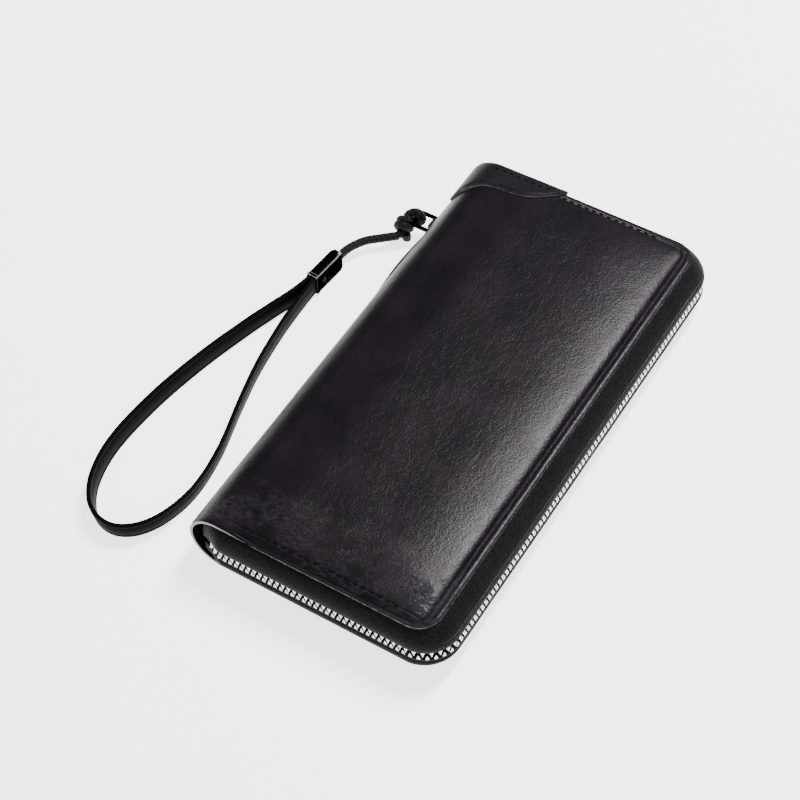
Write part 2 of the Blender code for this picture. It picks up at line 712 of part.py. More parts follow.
# The strap's middle line, seen from above, from one end in the clasp to the other.
ARM = STRAP_THICKNESS / 2 + GAP / 2
ARM_END = -CLASP_LENGTH / 2 + CLASP_DEPTH - GAP
STRAP_POINTS = ([clasp_place(-ARM, ARM_END, 0).xy, clasp_place(-ARM, -CLASP_LENGTH / 2, 0).xy]
                + [RING_FOOT.xy + Vector(p) for p in (
                    (-0.0214, -0.0550), (-0.0250, -0.0655), (-0.0291, -0.0780), (-0.0346, -0.0990),
                    (-0.0388, -0.1230), (-0.0400, -0.1460), (-0.0370, -0.1620), (-0.0310, -0.1725),
                    (-0.0238, -0.1772), (-0.0163, -0.1773), (-0.0094, -0.1725), (-0.0043, -0.1630),
                    (-0.0020, -0.1490), (-0.0040, -0.1310), (-0.0098, -0.1090), (-0.0140, -0.0910),
                    (-0.0165, -0.0730), (-0.0174, -0.0590))]
                + [clasp_place(ARM, -CLASP_LENGTH / 2, 0).xy, clasp_place(ARM, ARM_END, 0).xy])
STRAP_SPACING = 0.006
STRAP_SETTLE = 0.040          # length over which the strap sinks from the clasp to the floor


def make_strap(material):
    """Flat leather loop, standing on its edge."""
    route = smooth_route([(p.x, p.y, 0.0) for p in STRAP_POINTS], STRAP_SPACING)
    held = CLASP_CENTRE.z - STRAP_WIDTH / 2
    total = STRAP_SPACING * (len(route) - 1)
    sections = []
    for i, point in enumerate(route):
        ahead = route[min(i + 1, len(route) - 1)]
        behind = route[max(i - 1, 0)]
        along = (ahead - behind).normalized()
        side = Vector((along.y, -along.x, 0)) * (STRAP_THICKNESS / 2)
        distance = min(i, len(route) - 1 - i) * STRAP_SPACING - CLASP_DEPTH
        share = min(1.0, max(0.0, distance / STRAP_SETTLE))
        low = held + (STRAP_FLOOR - held) * share * share * (3 - 2 * share)
        base = Vector((point.x, point.y, low))
        up = Vector((0, 0, STRAP_WIDTH))
        sections.append([base - side, base + side, base + side + up, base - side + up])
    return add_mesh("strap_loop", loft_mesh(sections), material)


# Middle line of the cord from the knot to the clasp.
CORD_LEAVES = Vector((-0.75, -0.66, 0)).normalized()
CORD_POINTS = [KNOT_CENTRE + (KNOT_RADIUS + GAP) * CORD_LEAVES,
               KNOT_CENTRE + (KNOT_RADIUS + 0.0030) * CORD_LEAVES,
               RING_FOOT + Vector((-0.0133, -0.0177, 0.0049)),
               clasp_place(0, CLASP_LENGTH / 2 + 0.0042, 0),
               clasp_place(0, CLASP_LENGTH / 2 + 0.0012, 0),
               clasp_place(0, CLASP_LENGTH / 2 + GAP, 0)]
# The two strands between the knot and the eye, as one short piece.
NECK_LEAD = Vector((0, -0.0006, 0))
NECK_START = Vector((RING_FAR_X - EYE_RADIUS, RING_Y - CORD_DIAMETER / 2 - GAP, RING_HEIGHT))
NECK_POINTS = [NECK_START, NECK_START + NECK_LEAD,
               KNOT_CENTRE + Vector((0, KNOT_RADIUS * 0.80 + 0.0008, 0.0036))]


def clear_scene():
    for piece in list(bpy.data.objects):
        bpy.data.objects.remove(piece, do_unlink=True)


def make_halves():
    leather = make_material("cover_leather", (0.020, 0.018, 0.021), 0.38)
    band = make_material("gusset_leather", (0.021, 0.024, 0.024), 0.75)
    foam = make_material("padding_foam", (0.10, 0.10, 0.10), 0.9)
    lining = make_material("lining_fabric", (0.028, 0.028, 0.032), 0.85)
    panel = make_material("panel_leather", (0.030, 0.027, 0.028), 0.5)
    tape = make_material("zip_tape", (0.015, 0.016, 0.017), 0.9)
    teeth = make_material("zip_teeth_metal", (0.72, 0.72, 0.70), 0.28, 1.0)
    stations = edge_stations()
    near_stop = 0.0012
    far_stop = ZIP_LENGTH - (SLIDER_FROM_SPINE - ZIP_START) + MAIN_SLIDER["length"] / 2 + 0.0015
    for half_name, side in (("back", BACK), ("front", FRONT)):
        make_cover(f"{half_name}_cover", side, leather)
        make_layer(f"{half_name}_padding", PADDING_Z, PADDING, side, foam)
        make_layer(f"{half_name}_lining", LINING_Z, LINING, side, lining)
        make_card_panels(half_name, side, panel)
        edge_band(f"{half_name}_gusset", gusset_profile, stations, side, band)
        edge_band(f"{half_name}_zip_tape", tape_profile, stations, side, tape)
        make_main_teeth(f"{half_name}_zip_teeth", side, teeth)
        make_stop(f"zip_stop_{half_name}_near", near_stop, side, teeth)
        make_stop(f"zip_stop_{half_name}_far", far_stop, side, teeth)
    make_corner_patch(make_material("patch_leather", (0.016, 0.015, 0.017), 0.55))


def make_zip_hardware():
    steel = make_material("slider_metal", (0.60, 0.60, 0.58), 0.3, 1.0)
    zip_y = HALF_L + ZIP_BULGE
    slider_x = SPINE_X + SLIDER_FROM_SPINE
    make_slider("zip_slider", MAIN_SLIDER, (slider_x, zip_y, MID_Z), 0.0, steel)
    pull_y = zip_y + pull_axis_offset(MAIN_SLIDER)
    make_pull("zip_pull", MAIN_SLIDER, MAIN_PULL, (slider_x, pull_y, MID_Z), 0.0, steel)
    # the coin zip runs along Y and faces the zip side, so its slider is turned a quarter
    quarter = -math.pi / 2
    make_slider("coin_slider", COIN_SLIDER, (COIN_ZIP_X, COIN_SLIDER_Y, MID_Z), quarter, steel)
    coin_pull_x = COIN_ZIP_X + pull_axis_offset(COIN_SLIDER)
    make_pull("coin_pull", COIN_SLIDER, COIN_PULL, (coin_pull_x, COIN_SLIDER_Y, MID_Z), quarter, steel)


def make_wrist_strap():
    keeper = make_material("keeper_leather", (0.018, 0.017, 0.018), 0.5)
    gunmetal = make_material("gunmetal", (0.22, 0.22, 0.24), 0.25, 1.0)
    braid = make_material("cord_braid", (0.013, 0.013, 0.014), 0.8)
    strap = make_material("strap_leather", (0.018, 0.017, 0.019), 0.35)
    room = RING_WIDTH / 2 + RING_WIRE / 2 + GAP
    make_keeper("ring_keeper_long", RING_Y - room - KEEPER_LONG, RING_Y - room, keeper)
    make_keeper("ring_keeper_short", RING_Y + room, RING_Y + room + KEEPER_SHORT, keeper)
    make_sleeve(keeper)
    make_ring(gunmetal)
    make_eye(braid)
    make_tube("cord_neck", smooth_route(NECK_POINTS, 0.0006), CORD_DIAMETER, braid)
    make_knot(braid)
    make_tube("strap_cord", smooth_route(CORD_POINTS, 0.003), CORD_DIAMETER, braid)
    make_clasp(gunmetal)
    make_rivet(gunmetal)
    make_strap(strap)


def build_wallet():
    clear_scene()
    make_halves()
    panel = make_material("coin_leather", (0.030, 0.027, 0.028), 0.5)
    fabric = make_material("coin_fabric", (0.025, 0.025, 0.028), 0.85)
    teeth = make_material("coin_teeth_metal", (0.72, 0.72, 0.70), 0.3, 1.0)
    make_coin_pocket(panel, fabric, teeth)
    make_zip_hardware()
    make_wrist_strap()


build_wallet()
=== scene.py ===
"""Looks of the long zip-around wallet: leather, zip, cord, strap and inside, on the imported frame."""
import json
import math

import bmesh
import bpy
from mathutils import Matrix, Vector, noise
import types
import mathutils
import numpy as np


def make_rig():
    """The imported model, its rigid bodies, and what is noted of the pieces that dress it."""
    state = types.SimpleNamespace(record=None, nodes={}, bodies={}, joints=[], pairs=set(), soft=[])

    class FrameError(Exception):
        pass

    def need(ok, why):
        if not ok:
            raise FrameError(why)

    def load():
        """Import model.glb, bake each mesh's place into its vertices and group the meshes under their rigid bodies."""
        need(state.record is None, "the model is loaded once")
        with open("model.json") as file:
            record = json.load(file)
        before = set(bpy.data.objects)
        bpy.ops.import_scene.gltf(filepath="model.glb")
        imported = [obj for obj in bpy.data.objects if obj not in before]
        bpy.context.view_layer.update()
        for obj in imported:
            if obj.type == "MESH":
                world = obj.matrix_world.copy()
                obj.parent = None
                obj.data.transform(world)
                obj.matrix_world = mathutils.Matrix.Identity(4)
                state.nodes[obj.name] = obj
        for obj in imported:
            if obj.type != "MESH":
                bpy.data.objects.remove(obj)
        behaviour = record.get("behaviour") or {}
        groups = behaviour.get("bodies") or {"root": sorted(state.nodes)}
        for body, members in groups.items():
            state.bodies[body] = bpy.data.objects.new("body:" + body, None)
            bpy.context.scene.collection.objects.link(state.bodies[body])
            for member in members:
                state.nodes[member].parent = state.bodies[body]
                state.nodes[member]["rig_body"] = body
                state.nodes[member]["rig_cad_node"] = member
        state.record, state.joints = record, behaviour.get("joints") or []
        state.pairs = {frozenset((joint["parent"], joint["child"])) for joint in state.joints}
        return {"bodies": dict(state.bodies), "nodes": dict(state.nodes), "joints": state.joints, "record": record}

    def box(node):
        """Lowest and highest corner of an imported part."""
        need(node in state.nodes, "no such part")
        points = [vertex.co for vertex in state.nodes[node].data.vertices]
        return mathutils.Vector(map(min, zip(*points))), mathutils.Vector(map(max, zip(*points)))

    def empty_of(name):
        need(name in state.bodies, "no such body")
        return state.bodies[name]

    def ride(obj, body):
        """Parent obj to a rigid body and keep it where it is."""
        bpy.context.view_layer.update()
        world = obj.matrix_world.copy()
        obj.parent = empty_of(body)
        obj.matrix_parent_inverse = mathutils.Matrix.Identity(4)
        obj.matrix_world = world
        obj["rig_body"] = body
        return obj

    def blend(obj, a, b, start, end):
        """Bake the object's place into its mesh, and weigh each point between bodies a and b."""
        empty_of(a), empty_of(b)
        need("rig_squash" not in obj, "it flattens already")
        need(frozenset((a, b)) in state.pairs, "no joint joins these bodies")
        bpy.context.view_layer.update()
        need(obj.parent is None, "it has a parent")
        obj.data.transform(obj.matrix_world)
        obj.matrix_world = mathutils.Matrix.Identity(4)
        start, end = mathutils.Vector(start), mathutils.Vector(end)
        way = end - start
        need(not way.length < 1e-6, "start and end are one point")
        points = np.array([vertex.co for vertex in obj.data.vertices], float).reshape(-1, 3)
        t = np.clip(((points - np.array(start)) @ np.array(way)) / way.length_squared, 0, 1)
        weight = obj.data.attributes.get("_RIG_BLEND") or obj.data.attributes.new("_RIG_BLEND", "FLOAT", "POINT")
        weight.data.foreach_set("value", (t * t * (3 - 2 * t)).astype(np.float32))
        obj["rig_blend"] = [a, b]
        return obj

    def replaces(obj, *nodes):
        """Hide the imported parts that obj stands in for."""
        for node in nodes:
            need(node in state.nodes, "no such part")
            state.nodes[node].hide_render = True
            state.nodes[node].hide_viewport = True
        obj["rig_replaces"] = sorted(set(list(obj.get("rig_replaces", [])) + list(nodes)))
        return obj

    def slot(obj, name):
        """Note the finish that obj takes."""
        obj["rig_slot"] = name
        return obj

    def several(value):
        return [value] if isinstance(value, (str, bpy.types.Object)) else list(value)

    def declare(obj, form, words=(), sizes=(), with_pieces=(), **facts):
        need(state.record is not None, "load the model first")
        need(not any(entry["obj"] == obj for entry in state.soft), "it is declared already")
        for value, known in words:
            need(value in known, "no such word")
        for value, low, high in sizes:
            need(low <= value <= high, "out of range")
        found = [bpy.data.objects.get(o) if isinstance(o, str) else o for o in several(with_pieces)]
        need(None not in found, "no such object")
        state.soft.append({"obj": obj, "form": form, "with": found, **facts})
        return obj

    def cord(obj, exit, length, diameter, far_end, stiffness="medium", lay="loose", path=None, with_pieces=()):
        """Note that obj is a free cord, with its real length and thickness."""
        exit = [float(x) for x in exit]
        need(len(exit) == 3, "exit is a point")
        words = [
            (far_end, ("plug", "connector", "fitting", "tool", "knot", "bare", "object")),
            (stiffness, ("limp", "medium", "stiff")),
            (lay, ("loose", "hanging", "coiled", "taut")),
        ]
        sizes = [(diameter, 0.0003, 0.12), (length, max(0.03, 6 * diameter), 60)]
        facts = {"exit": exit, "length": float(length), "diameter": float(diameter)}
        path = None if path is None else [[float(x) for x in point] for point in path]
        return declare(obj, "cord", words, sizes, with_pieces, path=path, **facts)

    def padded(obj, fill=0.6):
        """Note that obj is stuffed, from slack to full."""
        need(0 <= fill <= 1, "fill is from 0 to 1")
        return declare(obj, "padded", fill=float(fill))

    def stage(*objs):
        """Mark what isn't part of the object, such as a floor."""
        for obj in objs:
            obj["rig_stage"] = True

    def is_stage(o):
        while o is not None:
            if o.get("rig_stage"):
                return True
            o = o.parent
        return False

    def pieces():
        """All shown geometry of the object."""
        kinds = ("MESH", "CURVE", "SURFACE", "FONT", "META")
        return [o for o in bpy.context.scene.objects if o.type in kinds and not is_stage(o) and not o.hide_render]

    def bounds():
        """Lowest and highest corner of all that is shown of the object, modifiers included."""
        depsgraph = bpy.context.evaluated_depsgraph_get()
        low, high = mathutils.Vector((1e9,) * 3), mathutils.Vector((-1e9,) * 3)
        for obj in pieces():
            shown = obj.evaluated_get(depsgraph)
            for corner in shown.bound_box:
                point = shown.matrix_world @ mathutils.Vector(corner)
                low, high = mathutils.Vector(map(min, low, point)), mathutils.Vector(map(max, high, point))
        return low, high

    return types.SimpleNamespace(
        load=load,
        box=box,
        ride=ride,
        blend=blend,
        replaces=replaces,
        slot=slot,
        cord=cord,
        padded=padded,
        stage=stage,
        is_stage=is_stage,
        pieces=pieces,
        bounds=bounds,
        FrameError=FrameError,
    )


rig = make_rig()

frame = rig.load()
cad_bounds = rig.bounds()

# ---- Places taken from the frame ------------------------------------------------------

back_low, back_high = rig.box("back_cover")
front_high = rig.box("front_cover")[1]
SPINE_X = back_low[0]
HALF_W = back_high[0]
HALF_L = back_high[1]
THICKNESS = front_high[2]
MID_Z = THICKNESS / 2
SPINE_CENTRE_X = SPINE_X + MID_Z
tape_low, tape_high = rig.box("back_zip_tape")
TAPE_HALF = 0.0003            # half the tape's thickness
ZIP_BULGE = tape_high[0] - HALF_W - TAPE_HALF
ZIP_START_X = tape_low[0]
ZIP_TUCK = -0.0008            # the zip's offset from the cover edge at its two ends
ZIP_TAPER = 0.009             # length over which it comes out to the bulge
CORNER_RADIUS = 0.010
LEATHER = 0.0014
NEAR_SEAM_Y = -HALF_L + 0.0042
FAR_SEAM_Y = HALF_L - 0.0030
BACK, FRONT = 1, -1
HALF_NAMES = {BACK: "back", FRONT: "front"}


# ---- Camera, lights and floor ---------------------------------------------------------

def make_camera():
    """Long lens from the zip's near corner, turned a little on its own axis."""
    azimuth, elevation, roll = math.radians(34.4), math.radians(52.3), math.radians(-3.33)
    target = Vector((-0.0230, -0.0033, 0.0))
    distance = 0.795
    turn = (Matrix.Rotation(azimuth, 4, 'Z') @ Matrix.Rotation(math.pi / 2 - elevation, 4, 'X')
            @ Matrix.Rotation(roll, 4, 'Z'))
    back = turn @ Vector((0, 0, 1, 0))
    lens = bpy.data.cameras.new("camera")
    lens.lens = 96.1
    lens.sensor_width = 36.0
    lens.clip_start = 0.01
    camera = bpy.data.objects.new("camera", lens)
    camera.matrix_world = Matrix.Translation(target + back.xyz * distance) @ turn
    bpy.context.scene.collection.objects.link(camera)
    bpy.context.scene.camera = camera


def add_light(name, direction, distance, size, power, colour=(1, 1, 1)):
    """Soft rectangular light that looks at the wallet from a direction."""
    data = bpy.data.lights.new(name, 'AREA')
    data.shape = 'RECTANGLE'
    data.size, data.size_y = size
    data.energy = power
    data.color = colour
    light = bpy.data.objects.new(name, data)
    aim = Vector(direction).normalized()
    light.location = aim * distance
    light.rotation_euler = aim.to_track_quat('Z', 'Y').to_euler()
    bpy.context.scene.collection.objects.link(light)


def make_world():
    world = bpy.data.worlds.new("studio")
    world.use_nodes = True
    background = world.node_tree.nodes["Background"]
    background.inputs["Color"].default_value = (0.95, 1.0, 0.97, 1)
    background.inputs["Strength"].default_value = 0.085
    bpy.context.scene.world = world


def make_lights():
    add_light("key_light", (0.10, 0.47, 0.87), 1.3, (0.16, 0.50), 34.0, (1.0, 0.95, 1.0))
    add_light("front_fill", (0.45, -0.85, 0.75), 1.6, (0.9, 0.9), 3.2)
    add_light("side_fill", (-0.95, -0.25, 0.65), 1.6, (0.8, 0.8), 0.6)
    add_light("edge_strip", (0.25, -0.80, 0.55), 1.3, (1.0, 0.08), 3.0)


# ---- Material nodes -------------------------------------------------------------------

class Shading:
    """One Principled material and the nodes that feed it."""

    def __init__(self, name, roughness=0.5, metallic=0.0, specular=0.5):
        self.material = bpy.data.materials.new(name)
        self.material.use_nodes = True
        self.tree = self.material.node_tree
        self.shader = self.tree.nodes["Principled BSDF"]
        self.shader.inputs["Roughness"].default_value = roughness
        self.shader.inputs["Metallic"].default_value = metallic
        self.shader.inputs["Specular IOR Level"].default_value = specular

    def node(self, kind, settings=None, **inputs):
        made = self.tree.nodes.new(kind)
        for key, value in (settings or {}).items():
            setattr(made, key, value)
        for key, value in inputs.items():
            self.feed(made.inputs[key.replace("_", " ")], value)
        return made

    def feed(self, socket, value):
        if isinstance(value, bpy.types.NodeSocket):
            self.tree.links.new(value, socket)
        else:
            socket.default_value = value

    def place(self, scale, source="Object", stretch=(1, 1, 1)):
        """Texture coordinates in metres times scale, from the object or its UVs."""
        coordinates = self.node("ShaderNodeTexCoord")
        mapping = self.node("ShaderNodeMapping")
        self.feed(mapping.inputs["Vector"], coordinates.outputs[source])
        mapping.inputs["Scale"].default_value = [scale * s for s in stretch]
        return mapping.outputs["Vector"]

    def noise(self, place, detail=3.0, roughness=0.55, distortion=0.0):
        made = self.node("ShaderNodeTexNoise", Scale=1.0, Detail=detail, Roughness=roughness,
                         Distortion=distortion)
        self.feed(made.inputs["Vector"], place)
        return made.outputs["Fac"]

    def cells(self, place):
        made = self.node("ShaderNodeTexVoronoi", Scale=1.0)
        self.feed(made.inputs["Vector"], place)
        return made.outputs["Distance"]

    def wave(self, place, direction='X', distortion=0.0):
        made = self.node("ShaderNodeTexWave", {"bands_direction": direction}, Scale=1.0,
                         Distortion=distortion, Detail=1.0)
        self.feed(made.inputs["Vector"], place)
        return made.outputs["Fac"]

    def spread(self, value, low, high, to_low=0.0, to_high=1.0):
        made = self.node("ShaderNodeMapRange", {"interpolation_type": 'SMOOTHSTEP'})
        self.feed(made.inputs["Value"], value)
        made.inputs["From Min"].default_value = low
        made.inputs["From Max"].default_value = high
        made.inputs["To Min"].default_value = to_low
        made.inputs["To Max"].default_value = to_high
        return made.outputs["Result"]

    def math(self, operation, a, b=0.0):
        made = self.node("ShaderNodeMath", {"operation": operation})
        self.feed(made.inputs[0], a)
        self.feed(made.inputs[1], b)
        return made.outputs[0]

    def times(self, a, b):
        return self.math('MULTIPLY', a, b)

    def mix(self, factor, a, b):
        made = self.node("ShaderNodeMix", {"data_type": 'RGBA'})
        self.feed(made.inputs["Factor"], factor)
        for socket, value in ((made.inputs[6], a), (made.inputs[7], b)):
            self.feed(socket, (*value, 1) if isinstance(value, tuple) else value)
        return made.outputs[2]

    def split(self, place):
        made = self.node("ShaderNodeSeparateXYZ")
        self.feed(made.inputs["Vector"], place)
        return made.outputs["X"], made.outputs["Y"]

    def colour(self, value):
        self.feed(self.shader.inputs["Base Color"], (*value, 1) if isinstance(value, tuple) else value)

    def rough(self, value):
        self.feed(self.shader.inputs["Roughness"], value)

    def bump(self, *layers):
        """Stack (height, depth in metres) layers into one bump."""
        normal = None
        for height, depth in layers:
            made = self.node("ShaderNodeBump")
            made.inputs["Distance"].default_value = depth
            made.inputs["Strength"].default_value = 1.0
            self.feed(made.inputs["Height"], height)
            if normal is not None:
                self.feed(made.inputs["Normal"], normal)
            normal = made.outputs["Normal"]
        self.feed(self.shader.inputs["Normal"], normal)


def worn_end(s, y, source):
    """Cracks in the wax near the cover's near end: how strongly they show at each place."""
    near = s.spread(y, -0.066, -0.093)
    edge = s.spread(y, -0.0975, -0.0955)
    cracks = s.noise(s.place(330, source, (0.55, 1.6, 1)), 6, 0.72, 1.6)
    lines = s.spread(s.math('ABSOLUTE', s.math('SUBTRACT', cracks, 0.5)), 0.0, 0.045, 1.0, 0.0)
    patchy = s.spread(s.noise(s.place(80, source), 3), 0.38, 0.56)
    return s.times(s.times(lines, s.times(near, edge)), patchy)


def waxed_leather(name, dark, warm, roughness, grain=1.0, specular=0.5, ior=1.5, source="Object",
                  cover=False):
    """Glossy waxed leather: cloudy colour, fine pebble grain, wrinkles; worn and seamed on the cover."""
    s = Shading(name, specular=specular)
    s.shader.inputs["IOR"].default_value = ior
    clouds = s.noise(s.place(45, source), 4, 0.6)
    flecks = s.noise(s.place(900, source), 2, 0.6)
    tint = s.mix(s.spread(clouds, 0.35, 0.68), dark, warm)
    wrinkle = s.noise(s.place(420, source, (1.0, 0.5, 1.0)), 5, 0.7, 0.5)
    creases = s.spread(wrinkle, 0.44, 0.60)
    pebble = s.cells(s.place(1450 * grain, source))
    light = s.times(s.spread(flecks, 0.5, 0.8), 0.35)
    tone = s.mix(light, tint, tuple(min(1.0, c * 1.9) for c in warm))
    base = s.spread(clouds, 0.3, 0.7, roughness - 0.015, roughness + 0.02)
    layers = [(creases, 0.000018), (pebble, 0.000038), (flecks, 0.00003)]
    if cover:
        y = s.split(s.place(1.0, source))[1]
        cracks = worn_end(s, y, source)
        layers.append((cracks, 0.00004))
        tone = s.mix(s.times(cracks, 0.45), tone, (0.034, 0.030, 0.036))
        for seam_y in (NEAR_SEAM_Y, FAR_SEAM_Y):
            away = s.math('ABSOLUTE', s.math('SUBTRACT', y, seam_y))
            layers.append((s.spread(away, 0.0, 0.0008), 0.00010))
    s.colour(tone)
    s.rough(base)
    s.bump(*layers)
    return s.material


def plain_leather(name, colour, roughness, pebble_scale=1700, depth=0.00005, specular=0.4,
                  ior=1.5):
    """Matte grained leather with slight colour variation."""
    s = Shading(name, roughness, specular=specular)
    s.shader.inputs["IOR"].default_value = ior
    clouds = s.noise(s.place(120), 3)
    pebble = s.cells(s.place(pebble_scale))
    fine = s.noise(s.place(2600), 2)
    lighter = tuple(min(1.0, c * 1.9 + 0.002) for c in colour)
    speckle = s.times(s.spread(pebble, 0.2, 0.6), s.spread(clouds, 0.2, 0.6, 0.5, 1.0))
    s.colour(s.mix(speckle, colour, lighter))
    s.rough(s.spread(pebble, 0.0, 0.7, roughness - 0.08, min(1.0, roughness + 0.08)))
    s.bump((pebble, depth), (fine, depth * 0.4))
    return s.material


def woven_cloth(name, colour, pitch):
    """Plain weave: two crossed thread directions."""
    s = Shading(name, 0.85, specular=0.3)
    s.shader.inputs["Sheen Weight"].default_value = 0.25
    turns = 0.32 / pitch
    across = s.wave(s.place(turns), 'X', 0.3)
    along = s.wave(s.place(turns), 'Y', 0.3)
    up = s.wave(s.place(turns), 'Z', 0.3)
    weave = s.math('MAXIMUM', s.times(across, along), s.times(up, 0.6))
    clouds = s.noise(s.place(200), 2)
    lighter = tuple(c * 1.7 for c in colour)
    s.colour(s.mix(s.spread(s.times(weave, clouds), 0.05, 0.5), colour, lighter))
    s.bump((weave, 0.00010))
    return s.material


def braid_cloth(name, colour):
    """Round braid, from UVs: u runs around the cord and v along it, in strands."""
    s = Shading(name, 0.62, specular=0.1)
    s.shader.inputs["Sheen Weight"].default_value = 0.05
    u, v = s.split(s.place(1.0, "UV"))
    right = s.math('SINE', s.times(s.math('ADD', u, v), 2 * math.pi))
    left = s.math('SINE', s.times(s.math('SUBTRACT', u, v), 2 * math.pi))
    weave = s.math('MAXIMUM', right, left)
    height = s.spread(weave, -0.6, 1.0)
    fibre = s.noise(s.place(2500), 2)
    s.colour(s.mix(height, tuple(c * 0.5 for c in colour), tuple(c * 1.5 for c in colour)))
    s.bump((height, 0.00022), (fibre, 0.00004))
    return s.material


def plated_metal(name, colour, roughness, scratch=0.5, edge_tint=1.0):
    """Plated metal with fine brushing and a little unevenness."""
    s = Shading(name, roughness, 1.0)
    s.shader.inputs["Specular Tint"].default_value = (edge_tint, edge_tint, edge_tint, 1)
    clouds = s.noise(s.place(350), 3)
    brushed = s.noise(s.place(900, stretch=(1, 0.08, 1)), 2)
    darker = tuple(c * 0.72 for c in colour)
    s.colour(s.mix(s.spread(clouds, 0.3, 0.7), darker, colour))
    s.rough(s.spread(brushed, 0.3, 0.75, roughness - 0.05, roughness + 0.16 * scratch))
    s.bump((brushed, 0.000006), (clouds, 0.00002))
    return s.material


def thread_fibre(name, colour):
    """Matte twisted thread."""
    s = Shading(name, 0.8, specular=0.05)
    twist = s.wave(s.place(2200, stretch=(1, 1, 0.4)), 'DIAGONAL')
    s.colour(s.mix(twist, tuple(c * 0.6 for c in colour), colour))
    s.bump((twist, 0.00005))
    return s.material


def edge_paint(name, colour):
    """Glossy, slightly uneven paint on a cut leather edge; its colour is lighter than the leather, which makes it also
    a painted highlight line along the edge.
    """
    s = Shading(name, 0.24, specular=0.6)
    uneven = s.noise(s.place(420), 4)
    s.colour(s.mix(s.spread(uneven, 0.3, 0.7), colour, tuple(c * 1.6 for c in colour)))
    s.rough(s.spread(uneven, 0.3, 0.8, 0.18, 0.38))
    s.bump((uneven, 0.00008))
    return s.material


make_camera()
make_world()
make_lights()

MATERIALS = {
    "cover": waxed_leather("cover_leather", (0.0060, 0.0050, 0.0066), (0.0088, 0.0066, 0.0088), 0.33,
                           ior=1.22, source="UV", cover=True),
    "edge": edge_paint("edge_paint", (0.045, 0.042, 0.048)),
    "patch": plain_leather("patch_leather", (0.0046, 0.0041, 0.0052), 0.40, 1500, 0.00006, 0.25, 1.26),
    "gusset": plain_leather("gusset_leather", (0.0036, 0.0038, 0.0041), 0.52, 1150, 0.00018, 0.16, 1.22),
    "keeper": plain_leather("keeper_leather", (0.005, 0.0048, 0.005), 0.45, 1900, 0.00004, 0.25),
    "strap": waxed_leather("strap_leather", (0.0024, 0.0022, 0.0028), (0.004, 0.0035, 0.0042), 0.52,
                           0.8, 0.06, 1.22),
    "panel": plain_leather("panel_leather", (0.016, 0.0145, 0.015), 0.5, 1800, 0.00004),
    "lining": woven_cloth("lining_cloth", (0.018, 0.018, 0.021), 0.0006),
    "tape": woven_cloth("zip_tape_cloth", (0.008, 0.0085, 0.009), 0.0005),
    "braid": braid_cloth("cord_braid", (0.0055, 0.0052, 0.006)),
    "teeth": plated_metal("zip_teeth_metal", (0.83, 0.83, 0.81), 0.22),
    "slider": plated_metal("slider_metal", (0.62, 0.62, 0.60), 0.25),
    "gunmetal": plated_metal("gunmetal", (0.016, 0.0165, 0.020), 0.20, 0.6, 0.16),
    # Painted highlight: much lighter metal on the clasp's bevelled edges, standing in for the light they catch.
    "worn_edge": plated_metal("worn_gunmetal_edge", (0.45, 0.45, 0.47), 0.42),
    "thread": thread_fibre("stitch_thread", (0.005, 0.005, 0.0055)),
}


# ---- Mesh helpers -----------------------------------------------------------------------

def add_piece(name, verts, faces, material, smooth=True, uvs=None, sharp=35):
    """Object from plain lists; uvs holds one (u, v) for each vertex."""
    mesh = bpy.data.meshes.new(name)
    mesh.from_pydata([tuple(v) for v in verts], [], faces)
    mesh.materials.append(MATERIALS[material])
    if uvs is not None:
        layer = mesh.uv_layers.new(name="UVMap")
        for loop in mesh.loops:
            layer.data[loop.index].uv = uvs[loop.vertex_index]
    builder = bmesh.new()
    builder.from_mesh(mesh)
    bmesh.ops.recalc_face_normals(builder, faces=builder.faces)
    builder.to_mesh(mesh)
    builder.free()
    if smooth:
        mesh.shade_smooth()
        mesh.set_sharp_from_angle(angle=math.radians(sharp))
    piece = bpy.data.objects.new(name, mesh)
    bpy.context.scene.collection.objects.link(piece)
    return piece


def skin(rings, closed_path=False, first=0):
    """Faces between equal rings of points that are numbered one ring after the other."""
    count, rows = len(rings[0]), len(rings)
    faces = []
    for r in range(rows if closed_path else rows - 1):
        a, b = first + r * count, first + ((r + 1) % rows) * count
        for i in range(count):
            j = (i + 1) % count
            faces.append((a + i, a + j, b + j, b + i))
    if not closed_path:
        faces.append(tuple(first + i for i in reversed(range(count))))
        faces.append(tuple(first + (rows - 1) * count + i for i in range(count)))
    return faces


def flatten(rings):
    return [point for ring in rings for point in ring]


def loft(name, rings, material, sharp=35, closed_path=False):
    """Skin over rings of points, closed at its two ends or into a loop."""
    faces = skin(rings, closed_path=closed_path)
    return add_piece(name, flatten(rings), faces, material, sharp=sharp)


def join_parts(name, parts, material, sharp=40):
    """Several lofts in one piece; each part is its rings."""
    verts, faces = [], []
    for rings in parts:
        faces += skin(rings, first=len(verts))
        verts += flatten(rings)
    return add_piece(name, verts, faces, material, sharp=sharp)


def apply_modifiers(piece):
    """Bake a piece's modifiers into its mesh."""
    graph = bpy.context.evaluated_depsgraph_get()
    finished = bpy.data.meshes.new_from_object(piece.evaluated_get(graph))
    piece.modifiers.clear()
    piece.data = finished


def ease_edges(piece, width, angle):
    """Round every edge sharper than an angle in degrees."""
    bevel = piece.modifiers.new("ease", 'BEVEL')
    bevel.width = width
    bevel.segments = 2
    bevel.limit_method = 'ANGLE'
    bevel.angle_limit = math.radians(angle)
    apply_modifiers(piece)


def second_material(piece, material, chosen):
    """Another material on the polygons that a test picks."""
    piece.data.materials.append(MATERIALS[material])
    for polygon in piece.data.polygons:
        if chosen(polygon):
            polygon.material_index = 1


def settle(piece, body, slot, *nodes):
    """Tie a finished piece to its body, its material slot and the CAD nodes that it replaces."""
    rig.replaces(piece, *nodes)
    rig.ride(piece, body)
    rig.slot(piece, slot)


